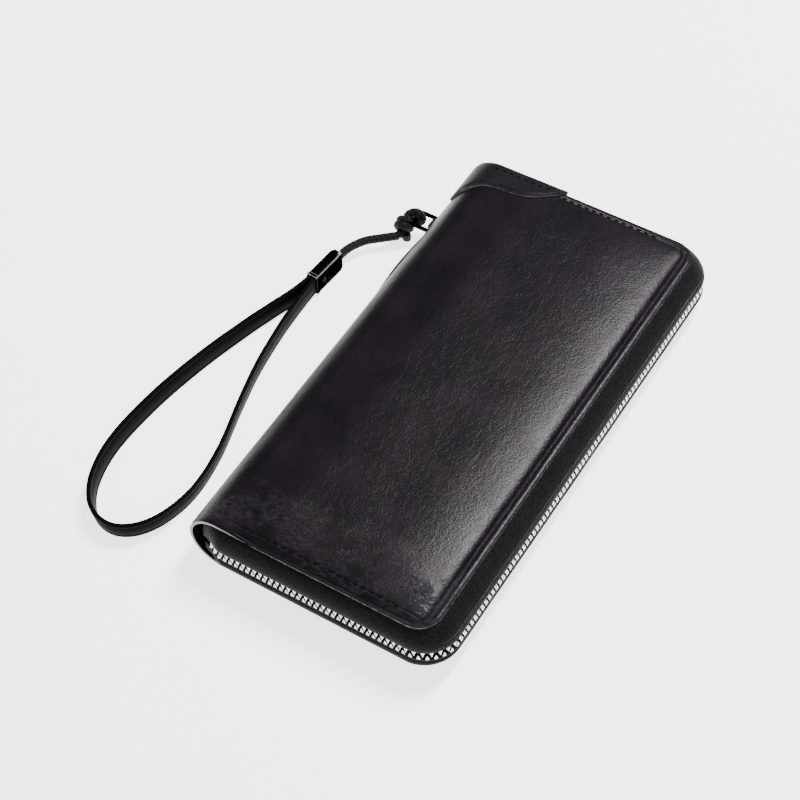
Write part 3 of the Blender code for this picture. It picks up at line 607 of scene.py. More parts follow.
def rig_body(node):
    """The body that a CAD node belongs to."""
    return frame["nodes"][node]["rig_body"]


def arc(centre, radius, start, end, steps):
    """Points on a circle from one angle to another, in degrees."""
    angles = [math.radians(start + (end - start) * i / steps) for i in range(steps + 1)]
    return [(centre[0] + radius * math.cos(a), centre[1] + radius * math.sin(a)) for a in angles]


def rounded_outline(low, high, low_radius, high_radius, steps):
    """Rectangle with round corners, whose low X side and high X side have their own radius."""
    return (arc((high[0] - high_radius, high[1] - high_radius), high_radius, 0, 90, steps)
            + arc((low[0] + low_radius, high[1] - low_radius), low_radius, 90, 180, steps)
            + arc((low[0] + low_radius, low[1] + low_radius), low_radius, 180, 270, steps)
            + arc((high[0] - high_radius, low[1] + high_radius), high_radius, 270, 360, steps))


def rounded_rectangle(half_w, half_h, radius, steps=3):
    return rounded_outline((-half_w, -half_h), (half_w, half_h), radius, radius, steps)


def smoothstep(value):
    """Ease from 0 to 1, level at both ends."""
    t = min(1.0, max(0.0, value))
    return t * t * (3 - 2 * t)


def catmull(points, spacing):
    """Even points on a Catmull-Rom curve through the given ones."""
    points = [Vector(p) for p in points]
    padded = [2 * points[0] - points[1]] + points + [2 * points[-1] - points[-2]]
    dense = []
    for a, b, c, d in zip(padded, padded[1:], padded[2:], padded[3:]):
        for i in range(24):
            t = i / 24
            dense.append(0.5 * (2 * b + (c - a) * t + (2 * a - 5 * b + 4 * c - d) * t * t
                                + (3 * b - a - 3 * c + d) * t ** 3))
    dense.append(points[-1])
    lengths = [0.0]
    for p, q in zip(dense, dense[1:]):
        lengths.append(lengths[-1] + (q - p).length)
    count = max(2, round(lengths[-1] / spacing))
    route, index = [], 0
    for k in range(count + 1):
        target = lengths[-1] * k / count
        while index < len(dense) - 2 and lengths[index + 1] < target:
            index += 1
        span = lengths[index + 1] - lengths[index]
        share = (target - lengths[index]) / span if span else 0.0
        route.append(dense[index].lerp(dense[index + 1], min(share, 1.0)))
    return route


def route_length(route):
    """Length along a list of points."""
    return sum((b - a).length for a, b in zip(route, route[1:]))


def tangent(points, i):
    """Direction of a line of points at one of them."""
    return (points[min(i + 1, len(points) - 1)] - points[max(i - 1, 0)]).normalized()


def tube_rings(route, radius, sides):
    """Rings of a round tube, each turned as little as possible from the one before."""
    rings = []
    side = (route[1] - route[0]).normalized().orthogonal().normalized()
    for i, point in enumerate(route):
        along = tangent(route, i)
        side = (side - along * side.dot(along)).normalized()
        up = along.cross(side)
        angles = [2 * math.pi * k / sides for k in range(sides)]
        rings.append([point + radius * (math.cos(a) * side + math.sin(a) * up) for a in angles])
    return rings


def add_tube(name, route, radius, sides, material):
    """Round cord whose UVs count its strands around and along; the last column closes the pattern."""
    tube = loft(name, tube_rings(route, radius, sides), material)
    mesh = tube.data
    layer = mesh.uv_layers.new(name="UVMap")
    travelled = [0.0]
    for a, b in zip(route, route[1:]):
        travelled.append(travelled[-1] + (b - a).length)
    for polygon in mesh.polygons:
        columns = [mesh.loops[k].vertex_index % sides for k in polygon.loop_indices]
        wraps = max(columns) - min(columns) > sides / 2
        for k in polygon.loop_indices:
            row, column = divmod(mesh.loops[k].vertex_index, sides)
            if wraps and column == 0:
                column = sides
            layer.data[k].uv = (STRANDS * column / sides, travelled[row] / (radius * STRAND_SLANT))
    return tube


# ---- The run of the zip around three sides --------------------------------------------

STRAIGHT = HALF_W - CORNER_RADIUS - ZIP_START_X
BEND = CORNER_RADIUS * math.pi / 2
LONG_RUN = 2 * (HALF_L - CORNER_RADIUS)
ZIP_LENGTH = 2 * STRAIGHT + 2 * BEND + LONG_RUN


def heading(angle):
    """Unit direction in the ground plane."""
    return Vector((math.cos(angle), math.sin(angle)))


def edge_frame(s):
    """Point of the cover's edge, outward direction and zip offset at arc length s."""
    corner_x, corner_y = HALF_W - CORNER_RADIUS, HALF_L - CORNER_RADIUS
    angle, base = 0.0, None
    if s <= STRAIGHT:
        base, angle = Vector((ZIP_START_X + s, -HALF_L)), -math.pi / 2
    elif s < STRAIGHT + BEND:
        angle = -math.pi / 2 + (s - STRAIGHT) / CORNER_RADIUS
        base = Vector((corner_x, -corner_y)) + CORNER_RADIUS * heading(angle)
    elif s <= STRAIGHT + BEND + LONG_RUN:
        base = Vector((HALF_W, -corner_y + s - STRAIGHT - BEND))
    elif s < ZIP_LENGTH - STRAIGHT:
        angle = (s - STRAIGHT - BEND - LONG_RUN) / CORNER_RADIUS
        base = Vector((corner_x, corner_y)) + CORNER_RADIUS * heading(angle)
    else:
        base, angle = Vector((ZIP_START_X + ZIP_LENGTH - s, HALF_L)), math.pi / 2
    share = smoothstep(min(s, ZIP_LENGTH - s) / ZIP_TAPER)
    return base, heading(angle), ZIP_TUCK + (ZIP_BULGE - ZIP_TUCK) * share


def run_stations(start, end, spacing):
    """Arc lengths from start to end, closer together at the corners."""
    stops = [start]
    while stops[-1] < end - 1e-6:
        s = stops[-1]
        to_bend = min(abs(s - STRAIGHT - BEND / 2), abs(s - ZIP_LENGTH + STRAIGHT + BEND / 2))
        step = 0.0012 if to_bend < BEND / 2 + 0.002 or min(s, ZIP_LENGTH - s) < ZIP_TAPER else spacing
        stops.append(min(end, s + step))
    return stops


def mirrored(z, side):
    """Heights are written for the back half; the front half is its mirror image."""
    return z if side == BACK else THICKNESS - z


def inner_floor(x):
    """Lowest free height above the back cover's inside at x."""
    room = LEATHER + 0.0005
    if x >= SPINE_CENTRE_X:
        return room
    return MID_Z - math.sqrt((MID_Z - room) ** 2 - (x - SPINE_CENTRE_X) ** 2)


# ---- Cord and wrist strap -------------------------------------------------------------

ring_low, ring_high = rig.box("strap_ring")
RING_WIRE = ring_high[2] - ring_low[2]
RING_Z = (ring_low[2] + ring_high[2]) / 2
RING_Y = (ring_low[1] + ring_high[1]) / 2
RING_FAR_X = ring_low[0] + RING_WIRE / 2
RING_FOOT = Vector((RING_FAR_X, RING_Y, 0.0))
knot_low, knot_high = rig.box("cord_knot")
KNOT_CENTRE = (Vector(knot_low) + Vector(knot_high)) / 2
KNOT_RADIUS = (knot_high[0] - knot_low[0]) / 2
CORD_DIAMETER = 0.0032
CORD_SHOWN = 0.0034           # with its fibres
STRANDS = 4.0                 # of the braid, around the cord
STRAND_SLANT = 1.3
CLASP_CENTRE = RING_FOOT + Vector((-0.0179, -0.0380, 0.0051))
CLASP_TURN = math.radians(-5.1)
CLASP_SIZE = Vector((0.0054, 0.017, 0.0100))
CLASP_DEPTH = 0.0095
CLASP_WALL = 0.0005
STRAP_WIDTH = 0.0084
STRAP_THICKNESS = 0.0017
STRAP_FLOOR = 0.0002          # the loop's lower edge above the ground
STRAP_SETTLE = 0.040          # length over which it sinks from the clasp to the ground
STRAP_LEAN = 0.0012


def clasp_place(x, y, z):
    """A place in the clasp's own frame, whose Y runs from the strap to the cord."""
    cosine, sine = math.cos(CLASP_TURN), math.sin(CLASP_TURN)
    return CLASP_CENTRE + Vector((x * cosine - y * sine, x * sine + y * cosine, z))


def make_cord():
    """The cord's run from inside the knot to the clasp."""
    leaves = Vector((-0.75, -0.66, 0)).normalized()
    points = [KNOT_CENTRE,
              KNOT_CENTRE + (KNOT_RADIUS + 0.0030) * leaves,
              RING_FOOT + Vector((-0.0133, -0.0177, 0.0049)),
              clasp_place(0, CLASP_SIZE.y / 2 + 0.0042, 0),
              clasp_place(0, CLASP_SIZE.y / 2 - 0.0065, 0)]
    route = catmull(points, 0.0011)
    cord = add_tube("wrist_cord", route, CORD_SHOWN / 2, 20, "braid")
    settle(cord, "wrist_strap", "cord_braid", "strap_cord")
    return cord, route


def make_knot():
    """One strand: a loop through the ring, two turns round its own ends, and a short tail."""
    eye = Vector((RING_FAR_X, RING_Y, RING_Z))
    reach = RING_WIRE / 2 + CORD_DIAMETER / 2 + 0.0002
    k = KNOT_CENTRE
    axis = (Vector((eye.x - reach, eye.y, eye.z)) - k).normalized()
    side = axis.cross(Vector((0, 0, 1))).normalized()
    up = side.cross(axis)
    points = [k - axis * 0.0004, k + axis * 0.0022, k + axis * 0.0048 - side * 0.0005 - up * 0.0003]
    points += [Vector((eye.x - reach * 0.9, eye.y - 0.0030, eye.z - 0.0012)),
               Vector((eye.x - reach * 0.75, eye.y - 0.0008, eye.z - reach * 0.75)),
               Vector((eye.x + reach * 0.1, eye.y, eye.z - reach * 1.02)),
               Vector((eye.x + reach * 0.95, eye.y + 0.0003, eye.z - reach * 0.2)),
               Vector((eye.x + reach * 0.7, eye.y + 0.0006, eye.z + reach * 0.75)),
               Vector((eye.x - reach * 0.15, eye.y + 0.0002, eye.z + reach * 1.05)),
               Vector((eye.x - reach * 1.0, eye.y - 0.0016, eye.z + reach * 0.6)),
               k + axis * 0.0066 + up * 0.0022 + side * 0.0012]
    turns, turn_radius, steps = 1.5, 0.0024, 9
    for i in range(int(turns * steps) + 1):
        angle = 2 * math.pi * i / steps + 0.9
        along = 0.0064 - 0.0032 * i / (turns * steps)
        points.append(k + axis * along + turn_radius * (math.cos(angle) * side + math.sin(angle) * up))
    points += [k + axis * 0.0022 + side * 0.0016 - up * 0.0022,
               k + axis * 0.0004 + side * 0.0030 - up * 0.0016]
    route = [Vector((p.x, p.y, max(p.z, CORD_DIAMETER / 2 + 0.0002))) for p in catmull(points, 0.0008)]
    knot = add_tube("cord_tied_knot", route, CORD_SHOWN / 2, 18, "braid")
    settle(knot, "ring_and_knot", "cord_braid", "cord_eye", "cord_neck", "cord_knot")
    return knot


def make_clasp():
    """Plated sleeve: softly rounded tube with a lip at the strap's end, solid at the cord's."""
    half_w, half_l, half_h = CLASP_SIZE.x / 2, CLASP_SIZE.y / 2, CLASP_SIZE.z / 2
    outer = [(-half_l, -0.00025), (-half_l + 0.0002, 0.0), (-half_l + 0.0012, 0.0),
             (-half_l + 0.0015, -0.0002), (half_l - 0.0022, -0.0002), (half_l - 0.0009, -0.0005),
             (half_l - 0.0002, -0.0012), (half_l, -0.0021)]
    inner = [(-half_l + CLASP_DEPTH, -CLASP_WALL), (-half_l + 0.0003, -CLASP_WALL),
             (-half_l, -CLASP_WALL + 0.0001)]
    sharp, soft = 0.0006, 0.0011
    levels = [(y, grow, sharp) for y, grow in inner]
    levels += [(y, grow, soft if grow > -0.001 else sharp) for y, grow in outer]
    rings = [[clasp_place(x, y, z) for x, z in rounded_rectangle(half_w + grow, half_h + grow, radius)]
             for y, grow, radius in levels]
    clasp = loft("clasp_sleeve", rings, "gunmetal", sharp=50)
    # The slanted edge faces take the much lighter metal, a painted highlight that outlines the clasp.
    second_material(clasp, "worn_edge", lambda polygon: abs(polygon.normal.z) > 0.3
                    and math.hypot(polygon.normal.x, polygon.normal.y) > 0.3)
    settle(clasp, "wrist_strap", "gunmetal", "strap_clasp")
    return clasp


def make_rivet():
    """Domed rivet with a dimple on the clasp's outer side."""
    centre_y, base_x = -CLASP_SIZE.y / 2 + 0.0045, CLASP_SIZE.x / 2 - 0.0004
    profile = [(0.0014, 0.0), (0.0014, 0.0003), (0.0012, 0.0006), (0.0008, 0.00075), (0.0005, 0.0006),
               (0.0002, 0.00045)]
    rings = []
    for radius, height in profile:
        circle = arc((centre_y, 0.0), radius, 0, 345, 23)
        rings.append([clasp_place(base_x + height, y, z) for y, z in circle])
    rivet = loft("clasp_dome_rivet", rings, "gunmetal")
    settle(rivet, "wrist_strap", "gunmetal", "clasp_rivet")
    return rivet


def strap_section():
    """Half thickness and height of the strap's outline: two layers, painted edges, edge creases."""
    t, h = STRAP_THICKNESS / 2, STRAP_WIDTH
    side = [(0.55, 0.0), (0.85, 0.00015), (1.0, 0.0005), (1.0, 0.0012), (0.84, 0.00145), (1.02, 0.0017),
            (1.06, h / 2), (1.02, h - 0.0017), (0.84, h - 0.00145), (1.0, h - 0.0012), (1.0, h - 0.0005),
            (0.85, h - 0.00015), (0.55, h)]
    right = [(t * share, z) for share, z in side]
    left = [(-x, z) for x, z in reversed(right)]
    return right + [(0.0, h - 0.00012)] + left + [(0.0, 0.00012)]


def make_strap():
    """Flat leather loop standing on its edge, both ends in the clasp."""
    arm, end = STRAP_THICKNESS / 2 + 0.00015, -CLASP_SIZE.y / 2 + CLASP_DEPTH - 0.0003
    mouth = -CLASP_SIZE.y / 2
    offsets = ((-0.0214, -0.0550), (-0.0250, -0.0655), (-0.0291, -0.0780), (-0.0346, -0.0990),
               (-0.0388, -0.1230), (-0.0400, -0.1460), (-0.0370, -0.1620), (-0.0310, -0.1725),
               (-0.0238, -0.1772), (-0.0163, -0.1773), (-0.0094, -0.1725), (-0.0043, -0.1630),
               (-0.0020, -0.1490), (-0.0040, -0.1310), (-0.0098, -0.1090), (-0.0140, -0.0910),
               (-0.0165, -0.0730), (-0.0174, -0.0590))
    points = ([clasp_place(-arm, end, 0), clasp_place(-arm, mouth, 0)]
              + [RING_FOOT + Vector((x, y, 0)) for x, y in offsets]
              + [clasp_place(arm, mouth, 0), clasp_place(arm, end, 0)])
    route = catmull([(p.x, p.y, 0.0) for p in points], 0.0022)
    length = route_length(route)
    held = CLASP_CENTRE.z - STRAP_WIDTH / 2
    section = strap_section()
    rings, middle = [], []
    for i, point in enumerate(route):
        along = tangent(route, i)
        side = Vector((along.y, -along.x, 0))
        distance = min(i, len(route) - 1 - i) * length / (len(route) - 1) - CLASP_DEPTH
        low = held + (STRAP_FLOOR - held) * smoothstep(distance / STRAP_SETTLE)
        lean = STRAP_LEAN * math.sin(math.pi * i / (len(route) - 1))
        ring = []
        for offset, z in section:
            tilt = lean * (z / STRAP_WIDTH - 0.5)
            ring.append(point + side * (offset + tilt) + Vector((0, 0, low + z)))
        rings.append(ring)
        middle.append(point + Vector((0, 0, low + STRAP_WIDTH / 2)))
    strap = loft("wrist_strap_loop", rings, "strap", sharp=50)
    settle(strap, "wrist_strap", "strap_leather", "strap_loop")
    return strap, middle


cord, cord_route = make_cord()
knot = make_knot()
clasp = make_clasp()
rivet = make_rivet()
strap, strap_route = make_strap()
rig.cord(cord, exit=tuple(cord_route[0]), length=route_length(cord_route), diameter=CORD_DIAMETER,
        far_end="fitting", stiffness="medium", lay="loose", with_pieces=[knot, clasp, rivet],
        path=cord_route)
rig.cord(strap, exit=tuple(strap_route[0]), length=route_length(strap_route), diameter=STRAP_WIDTH,
        far_end="object", stiffness="stiff", lay="loose", path=strap_route)


# ---- Cover leather ----------------------------------------------------------------------

COVER_EDGE = 0.0477           # long edge of the leather, inside the bulging gusset
COVER_CORNER = 0.0090
BACK_INSET = 0.0016           # the back is that much shorter at both ends
PANEL_EDGE_LONG = 0.0032      # groove to cover edge on the long side
PANEL_EDGE_SHORT = 0.0013     # and on the short sides
CROWN_REACH = 0.026           # length over which the padding rises from the groove
CROWN_RISE = 0.0025
EDGE_HIGH = 0.0004            # the flat rim above the face's lower edge line
GROOVE_RISE = 0.0012          # the short step up from the groove
GROOVE_WIDTH = 0.0011         # how quickly it rises
EDGE_DROP = 0.0004            # how much the leather thins at its two short ends
EDGE_DROP_WIDTH = 0.0016
SPINE_BLEND = 0.020           # width over which the round spine turns into the face
FACE_LOW = 0.0235             # the front face's lower edge line
FLAT_COLUMNS = 26
ROLLED = 0.0090               # width of the finely divided strip along the zip side
FOLD = 0.0075                 # half the height over which the spine's leather bends


def outline_distance(x, y):
    """Distance inside the cover's outline, and how far around a corner (0 long side, 1 short)."""
    corner_x, corner_y = COVER_EDGE - COVER_CORNER, HALF_L - COVER_CORNER
    dx, dy = x - corner_x, abs(y) - corner_y
    if dx > 0 and dy > 0:
        return COVER_CORNER - math.hypot(dx, dy), math.atan2(dy, dx) / (math.pi / 2)
    to_long, to_short = COVER_EDGE - x, HALF_L - abs(y)
    if to_long < to_short:
        return to_long, 0.0
    return to_short, 1.0


def cover_height(x, y):
    """Height of the puffed outer face above the cover's lower edge line."""
    distance, around = outline_distance(x, y)
    distance = max(0.0, distance)
    wider = PANEL_EDGE_LONG - PANEL_EDGE_SHORT
    groove = PANEL_EDGE_LONG - wider * smoothstep(around)
    lip_height = EDGE_HIGH + EDGE_HIGH * (groove - PANEL_EDGE_SHORT) / wider
    if distance < groove:
        across = (distance / groove) * 2 - 1
        return EDGE_HIGH + lip_height * math.sqrt(max(0.0, 1 - across ** 2))
    inside = distance - groove
    rise = GROOVE_RISE * (1 - math.exp(-inside / GROOVE_WIDTH))
    from_long = COVER_EDGE - x - PANEL_EDGE_LONG
    from_short = HALF_L - abs(y) - PANEL_EDGE_SHORT
    long_crown = 1 - (1 - min(1.0, max(0.0, from_long) / CROWN_REACH)) ** 2
    short_crown = 1 - (1 - min(1.0, max(0.0, from_short) / CROWN_REACH)) ** 2.4
    crown = CROWN_RISE * long_crown ** 0.9 * (0.25 + 0.75 * short_crown)
    return EDGE_HIGH + rise + crown


def end_drop(y):
    """How far the outer face comes down towards a short end."""
    return EDGE_DROP * (1 - smoothstep((HALF_L - abs(y)) / EDGE_DROP_WIDTH))


def soft_unevenness(x, y, side):
    """Broad shallow waves that leather over padding has."""
    place = Vector((x * 42, y * 34, 3.7 * side))
    return 0.00022 * noise.noise(place) + 0.00008 * noise.noise(place * 3.1)


def column_shares():
    """Shares from the spine's centre line to the zip edge, close together near the groove."""
    reach = COVER_EDGE - SPINE_CENTRE_X
    wide = [i / FLAT_COLUMNS * (reach - ROLLED) for i in range(FLAT_COLUMNS)]
    near = [reach - d for d in (ROLLED, 0.0078, 0.0068, 0.0060, 0.0053, 0.0047, 0.0042, 0.0038,
                                0.0035, 0.0033, 0.0031, 0.0029, 0.0026, 0.0022, 0.0018, 0.0014,
                                0.0010, 0.0006, 0.0003, 0.0001, 0.0)]
    return [d / reach for d in wide + near]


def row_positions():
    """Y stations: fine over the corners and the ends, wider between."""
    corner = [HALF_L - COVER_CORNER * (1 - math.sin(math.radians(a))) for a in range(0, 91, 5)]
    end = [HALF_L - d for d in (0.0022, 0.0016, 0.0012, 0.0007, 0.0003)]
    half = sorted(set(round(y, 6) for y in corner + end))
    straight = [(HALF_L - COVER_CORNER) * i / 30 for i in range(-29, 30)]
    return [-y for y in reversed(half)] + straight + half


def zip_side_edge(y):
    """X of the leather's edge on the zip side."""
    over = max(0.0, abs(y) - (HALF_L - COVER_CORNER))
    return COVER_EDGE - COVER_CORNER + math.sqrt(max(0.0, COVER_CORNER ** 2 - over ** 2))


def face_point(share, y, side):
    """Outer face of one half at a share of the way from the spine to the zip edge."""
    x = SPINE_CENTRE_X + (zip_side_edge(y) - SPINE_CENTRE_X) * share
    spine_blend = smoothstep((x - SPINE_CENTRE_X) / SPINE_BLEND)
    puffed = FACE_LOW + cover_height(x, y) + soft_unevenness(x, y, side)
    z = (THICKNESS - end_drop(y)) * (1 - spine_blend) + puffed * spine_blend
    return x, max(THICKNESS - z, 0.0) if side == BACK else z


def spine_point(angle, radius):
    """X and Z of a point around the spine's centre line."""
    return SPINE_CENTRE_X + radius * math.cos(angle), MID_Z + radius * math.sin(angle)


def cover_line(y, shares, angles):
    """Outer and inner points across the leather at y, from the back's zip edge to the front's."""
    line, inside = [], []
    for share in reversed(shares):
        x, z = face_point(share, y, BACK)
        drawn_in = y * (1 - BACK_INSET / HALF_L * smoothstep(share / 0.3))
        line.append((x, drawn_in, z))
        inside.append((x, drawn_in, LEATHER + 0.0001))
    for angle in angles:
        swell = 0.00025 * math.sin(angle * 2 - math.pi) ** 2 * noise.noise(Vector((angle, y * 30, 0)))
        x, z = spine_point(angle, MID_Z - end_drop(y) * 0.6 + swell)
        line.append((x, y, z))
        x, z = spine_point(angle, MID_Z - LEATHER)
        inside.append((x, y, z))
    for share in shares:
        x, z = face_point(share, y, FRONT)
        line.append((x, y, z))
        inside.append((x, y, THICKNESS - LEATHER - 0.0001))
    return line, inside


def sheet_faces(rows, columns):
    """Both faces of a thick sheet, and its rim; the inner grid is numbered after the outer one."""
    offset = rows * columns
    faces, rim = [], []
    for r in range(rows - 1):
        for c in range(columns - 1):
            a, b = r * columns + c, (r + 1) * columns + c
            faces.append((a, a + 1, b + 1, b))
            faces.append((offset + a, offset + b, offset + b + 1, offset + a + 1))
    for r in range(rows - 1):
        for c in (0, columns - 1):
            a, b = r * columns + c, (r + 1) * columns + c
            rim.append((a, b, offset + b, offset + a))
    for c in range(columns - 1):
        for r in (0, rows - 1):
            a = r * columns + c
            rim.append((a, a + 1, offset + a + 1, offset + a))
    return faces, rim


def make_cover():
    """One piece of leather from the back zip edge, round the spine, to the front zip edge."""
    shares, rows = column_shares(), row_positions()
    arc_steps = 22
    angles = [math.radians(270 - 180 * i / arc_steps) for i in range(1, arc_steps)]
    outer, inner = zip(*(cover_line(y, shares, angles) for y in rows))
    reach, quarter = COVER_EDGE - SPINE_CENTRE_X, math.pi * MID_Z / 2
    along = [-quarter - reach * share for share in reversed(shares)]
    along += [MID_Z * (math.pi - a) for a in angles]
    along += [quarter + reach * share for share in shares]
    uvs = [(u, y) for y in rows for u in along] * 2
    faces, rim = sheet_faces(len(rows), len(along))
    verts = flatten(outer) + flatten(inner)
    cover = add_piece("cover_leather_wrap", verts, faces + rim, "cover", uvs=uvs, sharp=60)
    # The rim faces take the edge paint: real paint on the cut edge, made lighter than the leather as a painted
    # highlight line.
    second_material(cover, "edge", lambda polygon: polygon.index >= len(faces))
    ease_edges(cover, 0.00035, 60)
    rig.replaces(cover, "back_cover", "front_cover", "back_padding", "front_padding")
    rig.slot(cover, "cover_leather")
    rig.padded(cover, fill=0.7)
    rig.blend(cover, "back_half", "front_half", start=(SPINE_X, 0, MID_Z - FOLD),
             end=(SPINE_X, 0, MID_Z + FOLD))


make_cover()


# ---- Gusset, tape and teeth ---------------------------------------------------------------

GUSSET_PROFILE = (            # share of the way out, share of the way up, and push outwards
    (0.00, 0.00, 0.0000), (0.08, 0.03, 0.0006), (0.20, 0.11, 0.0010), (0.38, 0.26, 0.0013),
    (0.58, 0.44, 0.0014), (0.78, 0.64, 0.0012), (0.92, 0.82, 0.0008), (1.00, 0.94, 0.0004),
    (1.00, 0.99, 0.0002), (0.97, 1.00, 0.0000), (0.94, 0.97, -0.0002), (0.88, 0.84, 0.0001),
    (0.72, 0.64, 0.0005), (0.52, 0.44, 0.0007), (0.30, 0.26, 0.0006), (0.04, 0.12, 0.0002))
GUSSET_HIGH = 0.0030          # the folded edge stops this far from the zip's middle


def gusset_root(outward):
    """Offset of the hidden seam: further in on the long side, where the leather is narrower."""
    return -0.0018 - (HALF_W - COVER_EDGE) * max(0.0, outward.x)


def make_gusset(side):
    """Soft band that bulges out from under the cover's lip to the zip."""
    rings = []
    for s in run_stations(0.0, ZIP_LENGTH, 0.0025):
        base, outward, zip_offset = edge_frame(s)
        low, high = inner_floor(base.x) - 0.0002, MID_Z - GUSSET_HIGH
        out = smoothstep(min(s, ZIP_LENGTH - s) / ZIP_TAPER)
        root = gusset_root(outward)
        ripple = 0.00012 * noise.noise(Vector((s * 70, 2.0 * side, 0)))
        ring = []
        for across, up, push in GUSSET_PROFILE:
            offset = root + (zip_offset + 0.0006 - root) * across
            offset += push * (0.35 + 0.65 * out) + ripple * up
            point = base + outward * offset
            ring.append((point.x, point.y, mirrored(low + (high - low) * up, side)))
        rings.append(ring)
    name = HALF_NAMES[side]
    gusset = loft(f"{name}_gusset_band", rings, "gusset", sharp=60)
    settle(gusset, f"{name}_half", "gusset_leather", f"{name}_gusset")


TOOTH_PITCH = 0.00235
FIRST_TOOTH = 0.0032          # from the zip's near end
SLIDER_ROOM = 0.0025          # from the last pair of teeth to the slider's middle
# Height above the tooth's root and half width there.
TOOTH = ((0.0000, 0.00088), (0.0004, 0.00082), (0.0013, 0.00046), (0.0022, 0.00018), (0.00255, 0.00010))
TOOTH_ROOT = -0.0023          # below the zip's middle
TOOTH_HALF_DEPTH = 0.0007


def tooth_rings(place, root, tooth, half_depth):
    """One metal tooth: wide at the tape, narrow where it locks, its edges eased."""
    rings = []
    for up, half in tooth:
        ease = half_depth * (1.0 if up > 0.0001 else 0.9)
        corner = min(half, half_depth) * 0.35
        outline = ((half, -ease + corner), (half, ease - corner), (half - corner, ease),
                   (-half + corner, ease), (-half, ease - corner), (-half, -ease + corner),
                   (-half + corner, -ease), (half - corner, -ease))
        rings.append([place(s, depth, root + up) for s, depth in outline])
    return rings


def tooth_row(name, tooth_at, start, pitch, count):
    parts = [tooth_at(start + i * pitch) for i in range(count + 1)]
    return join_parts(name, parts, "teeth", sharp=30)


def make_teeth(side):
    """A row of separate teeth, half a pitch on from the other row."""
    name = HALF_NAMES[side]
    slider_low, slider_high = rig.box("zip_slider")
    closed_end = ZIP_LENGTH - ((slider_low[0] + slider_high[0]) / 2 - ZIP_START_X) - SLIDER_ROOM
    start = FIRST_TOOTH + (TOOTH_PITCH / 2 if side == FRONT else 0.0)
    count = int((closed_end - start - 0.0012) / TOOTH_PITCH)

    def tooth_at(middle):
        base, outward, zip_offset = edge_frame(middle)
        along = Vector((-outward.y, outward.x))

        def place(s, depth, z):
            point = base + outward * (zip_offset + depth) + along * s
            return (point.x, point.y, mirrored(MID_Z + z, side))
        return tooth_rings(place, TOOTH_ROOT, TOOTH, TOOTH_HALF_DEPTH)

    teeth = tooth_row(f"{name}_metal_teeth", tooth_at, start, TOOTH_PITCH, count)
    settle(teeth, f"{name}_half", "zip_metal", f"{name}_zip_teeth")


def make_tape(side):
    """Woven tape between the gusset's folded edge and the teeth, with its corded edge."""
    rings = []
    profile = ((-0.0003, 0.0), (0.0003, 0.0), (0.0003, 0.0026), (0.0007, 0.0029), (0.0009, 0.0033),
               (0.0007, 0.0037), (0.0, 0.0039), (-0.0007, 0.0037), (-0.0009, 0.0033),
               (-0.0007, 0.0029), (-0.0003, 0.0026))
    low = MID_Z - 0.0058
    for s in run_stations(0.0, ZIP_LENGTH, 0.0030):
        base, outward, zip_offset = edge_frame(s)
        ring = []
        for offset, up in profile:
            point = base + outward * (zip_offset + offset)
            ring.append((point.x, point.y, mirrored(low + up, side)))
        rings.append(ring)
    name = HALF_NAMES[side]
    tape = loft(f"{name}_woven_tape", rings, "tape", sharp=60)
    settle(tape, f"{name}_half", "zip_tape", f"{name}_zip_tape")


for half in (BACK, FRONT):
    make_gusset(half)
    make_tape(half)
    make_teeth(half)

# ---- Corner patch, stitches and the ring's leather --------------------------------------

def cover_top(x, y):
    """Height of the front face at a place on it."""
    share = (x - SPINE_CENTRE_X) / (zip_side_edge(y) - SPINE_CENTRE_X)
    return face_point(share, y, FRONT)[1]


PATCH_REACH = 0.042
PATCH_LENGTH = 0.021
PATCH_LIFT = 0.0009
PATCH_STATIONS = 56
PATCH_FIRST_ANGLE = 150.0     # around the spine, where the patch begins
PATCH_ARC_SHARE = 0.34


def patch_depth(x):
    """How far the patch reaches from the far end at x: an S-curve."""
    reach = (x - SPINE_X) / PATCH_REACH
    return PATCH_LENGTH * (1 - reach - 0.16 * math.sin(2 * math.pi * reach)) + 0.0012


def patch_station(share):
    """Spine arc first, then the flat: x, and the angle around the spine or None."""
    if share < PATCH_ARC_SHARE:
        turn = (90.0 - PATCH_FIRST_ANGLE) * share / PATCH_ARC_SHARE
        angle = math.radians(PATCH_FIRST_ANGLE + turn)
        return SPINE_CENTRE_X + MID_Z * math.cos(angle), angle
    flat = (share - PATCH_ARC_SHARE) / (1 - PATCH_ARC_SHARE)
    return SPINE_CENTRE_X + (SPINE_X + PATCH_REACH - SPINE_CENTRE_X) * flat, None


def on_patch(share, y, lift):
    """A point above the spine or the front face, at a share of the way across the patch."""
    x, angle = patch_station(share)
    if angle is not None:
        x, z = spine_point(angle, MID_Z + lift)
        return (x, y, z)
    return (x, y, cover_top(x, min(y, HALF_L - 0.0045)) + lift)


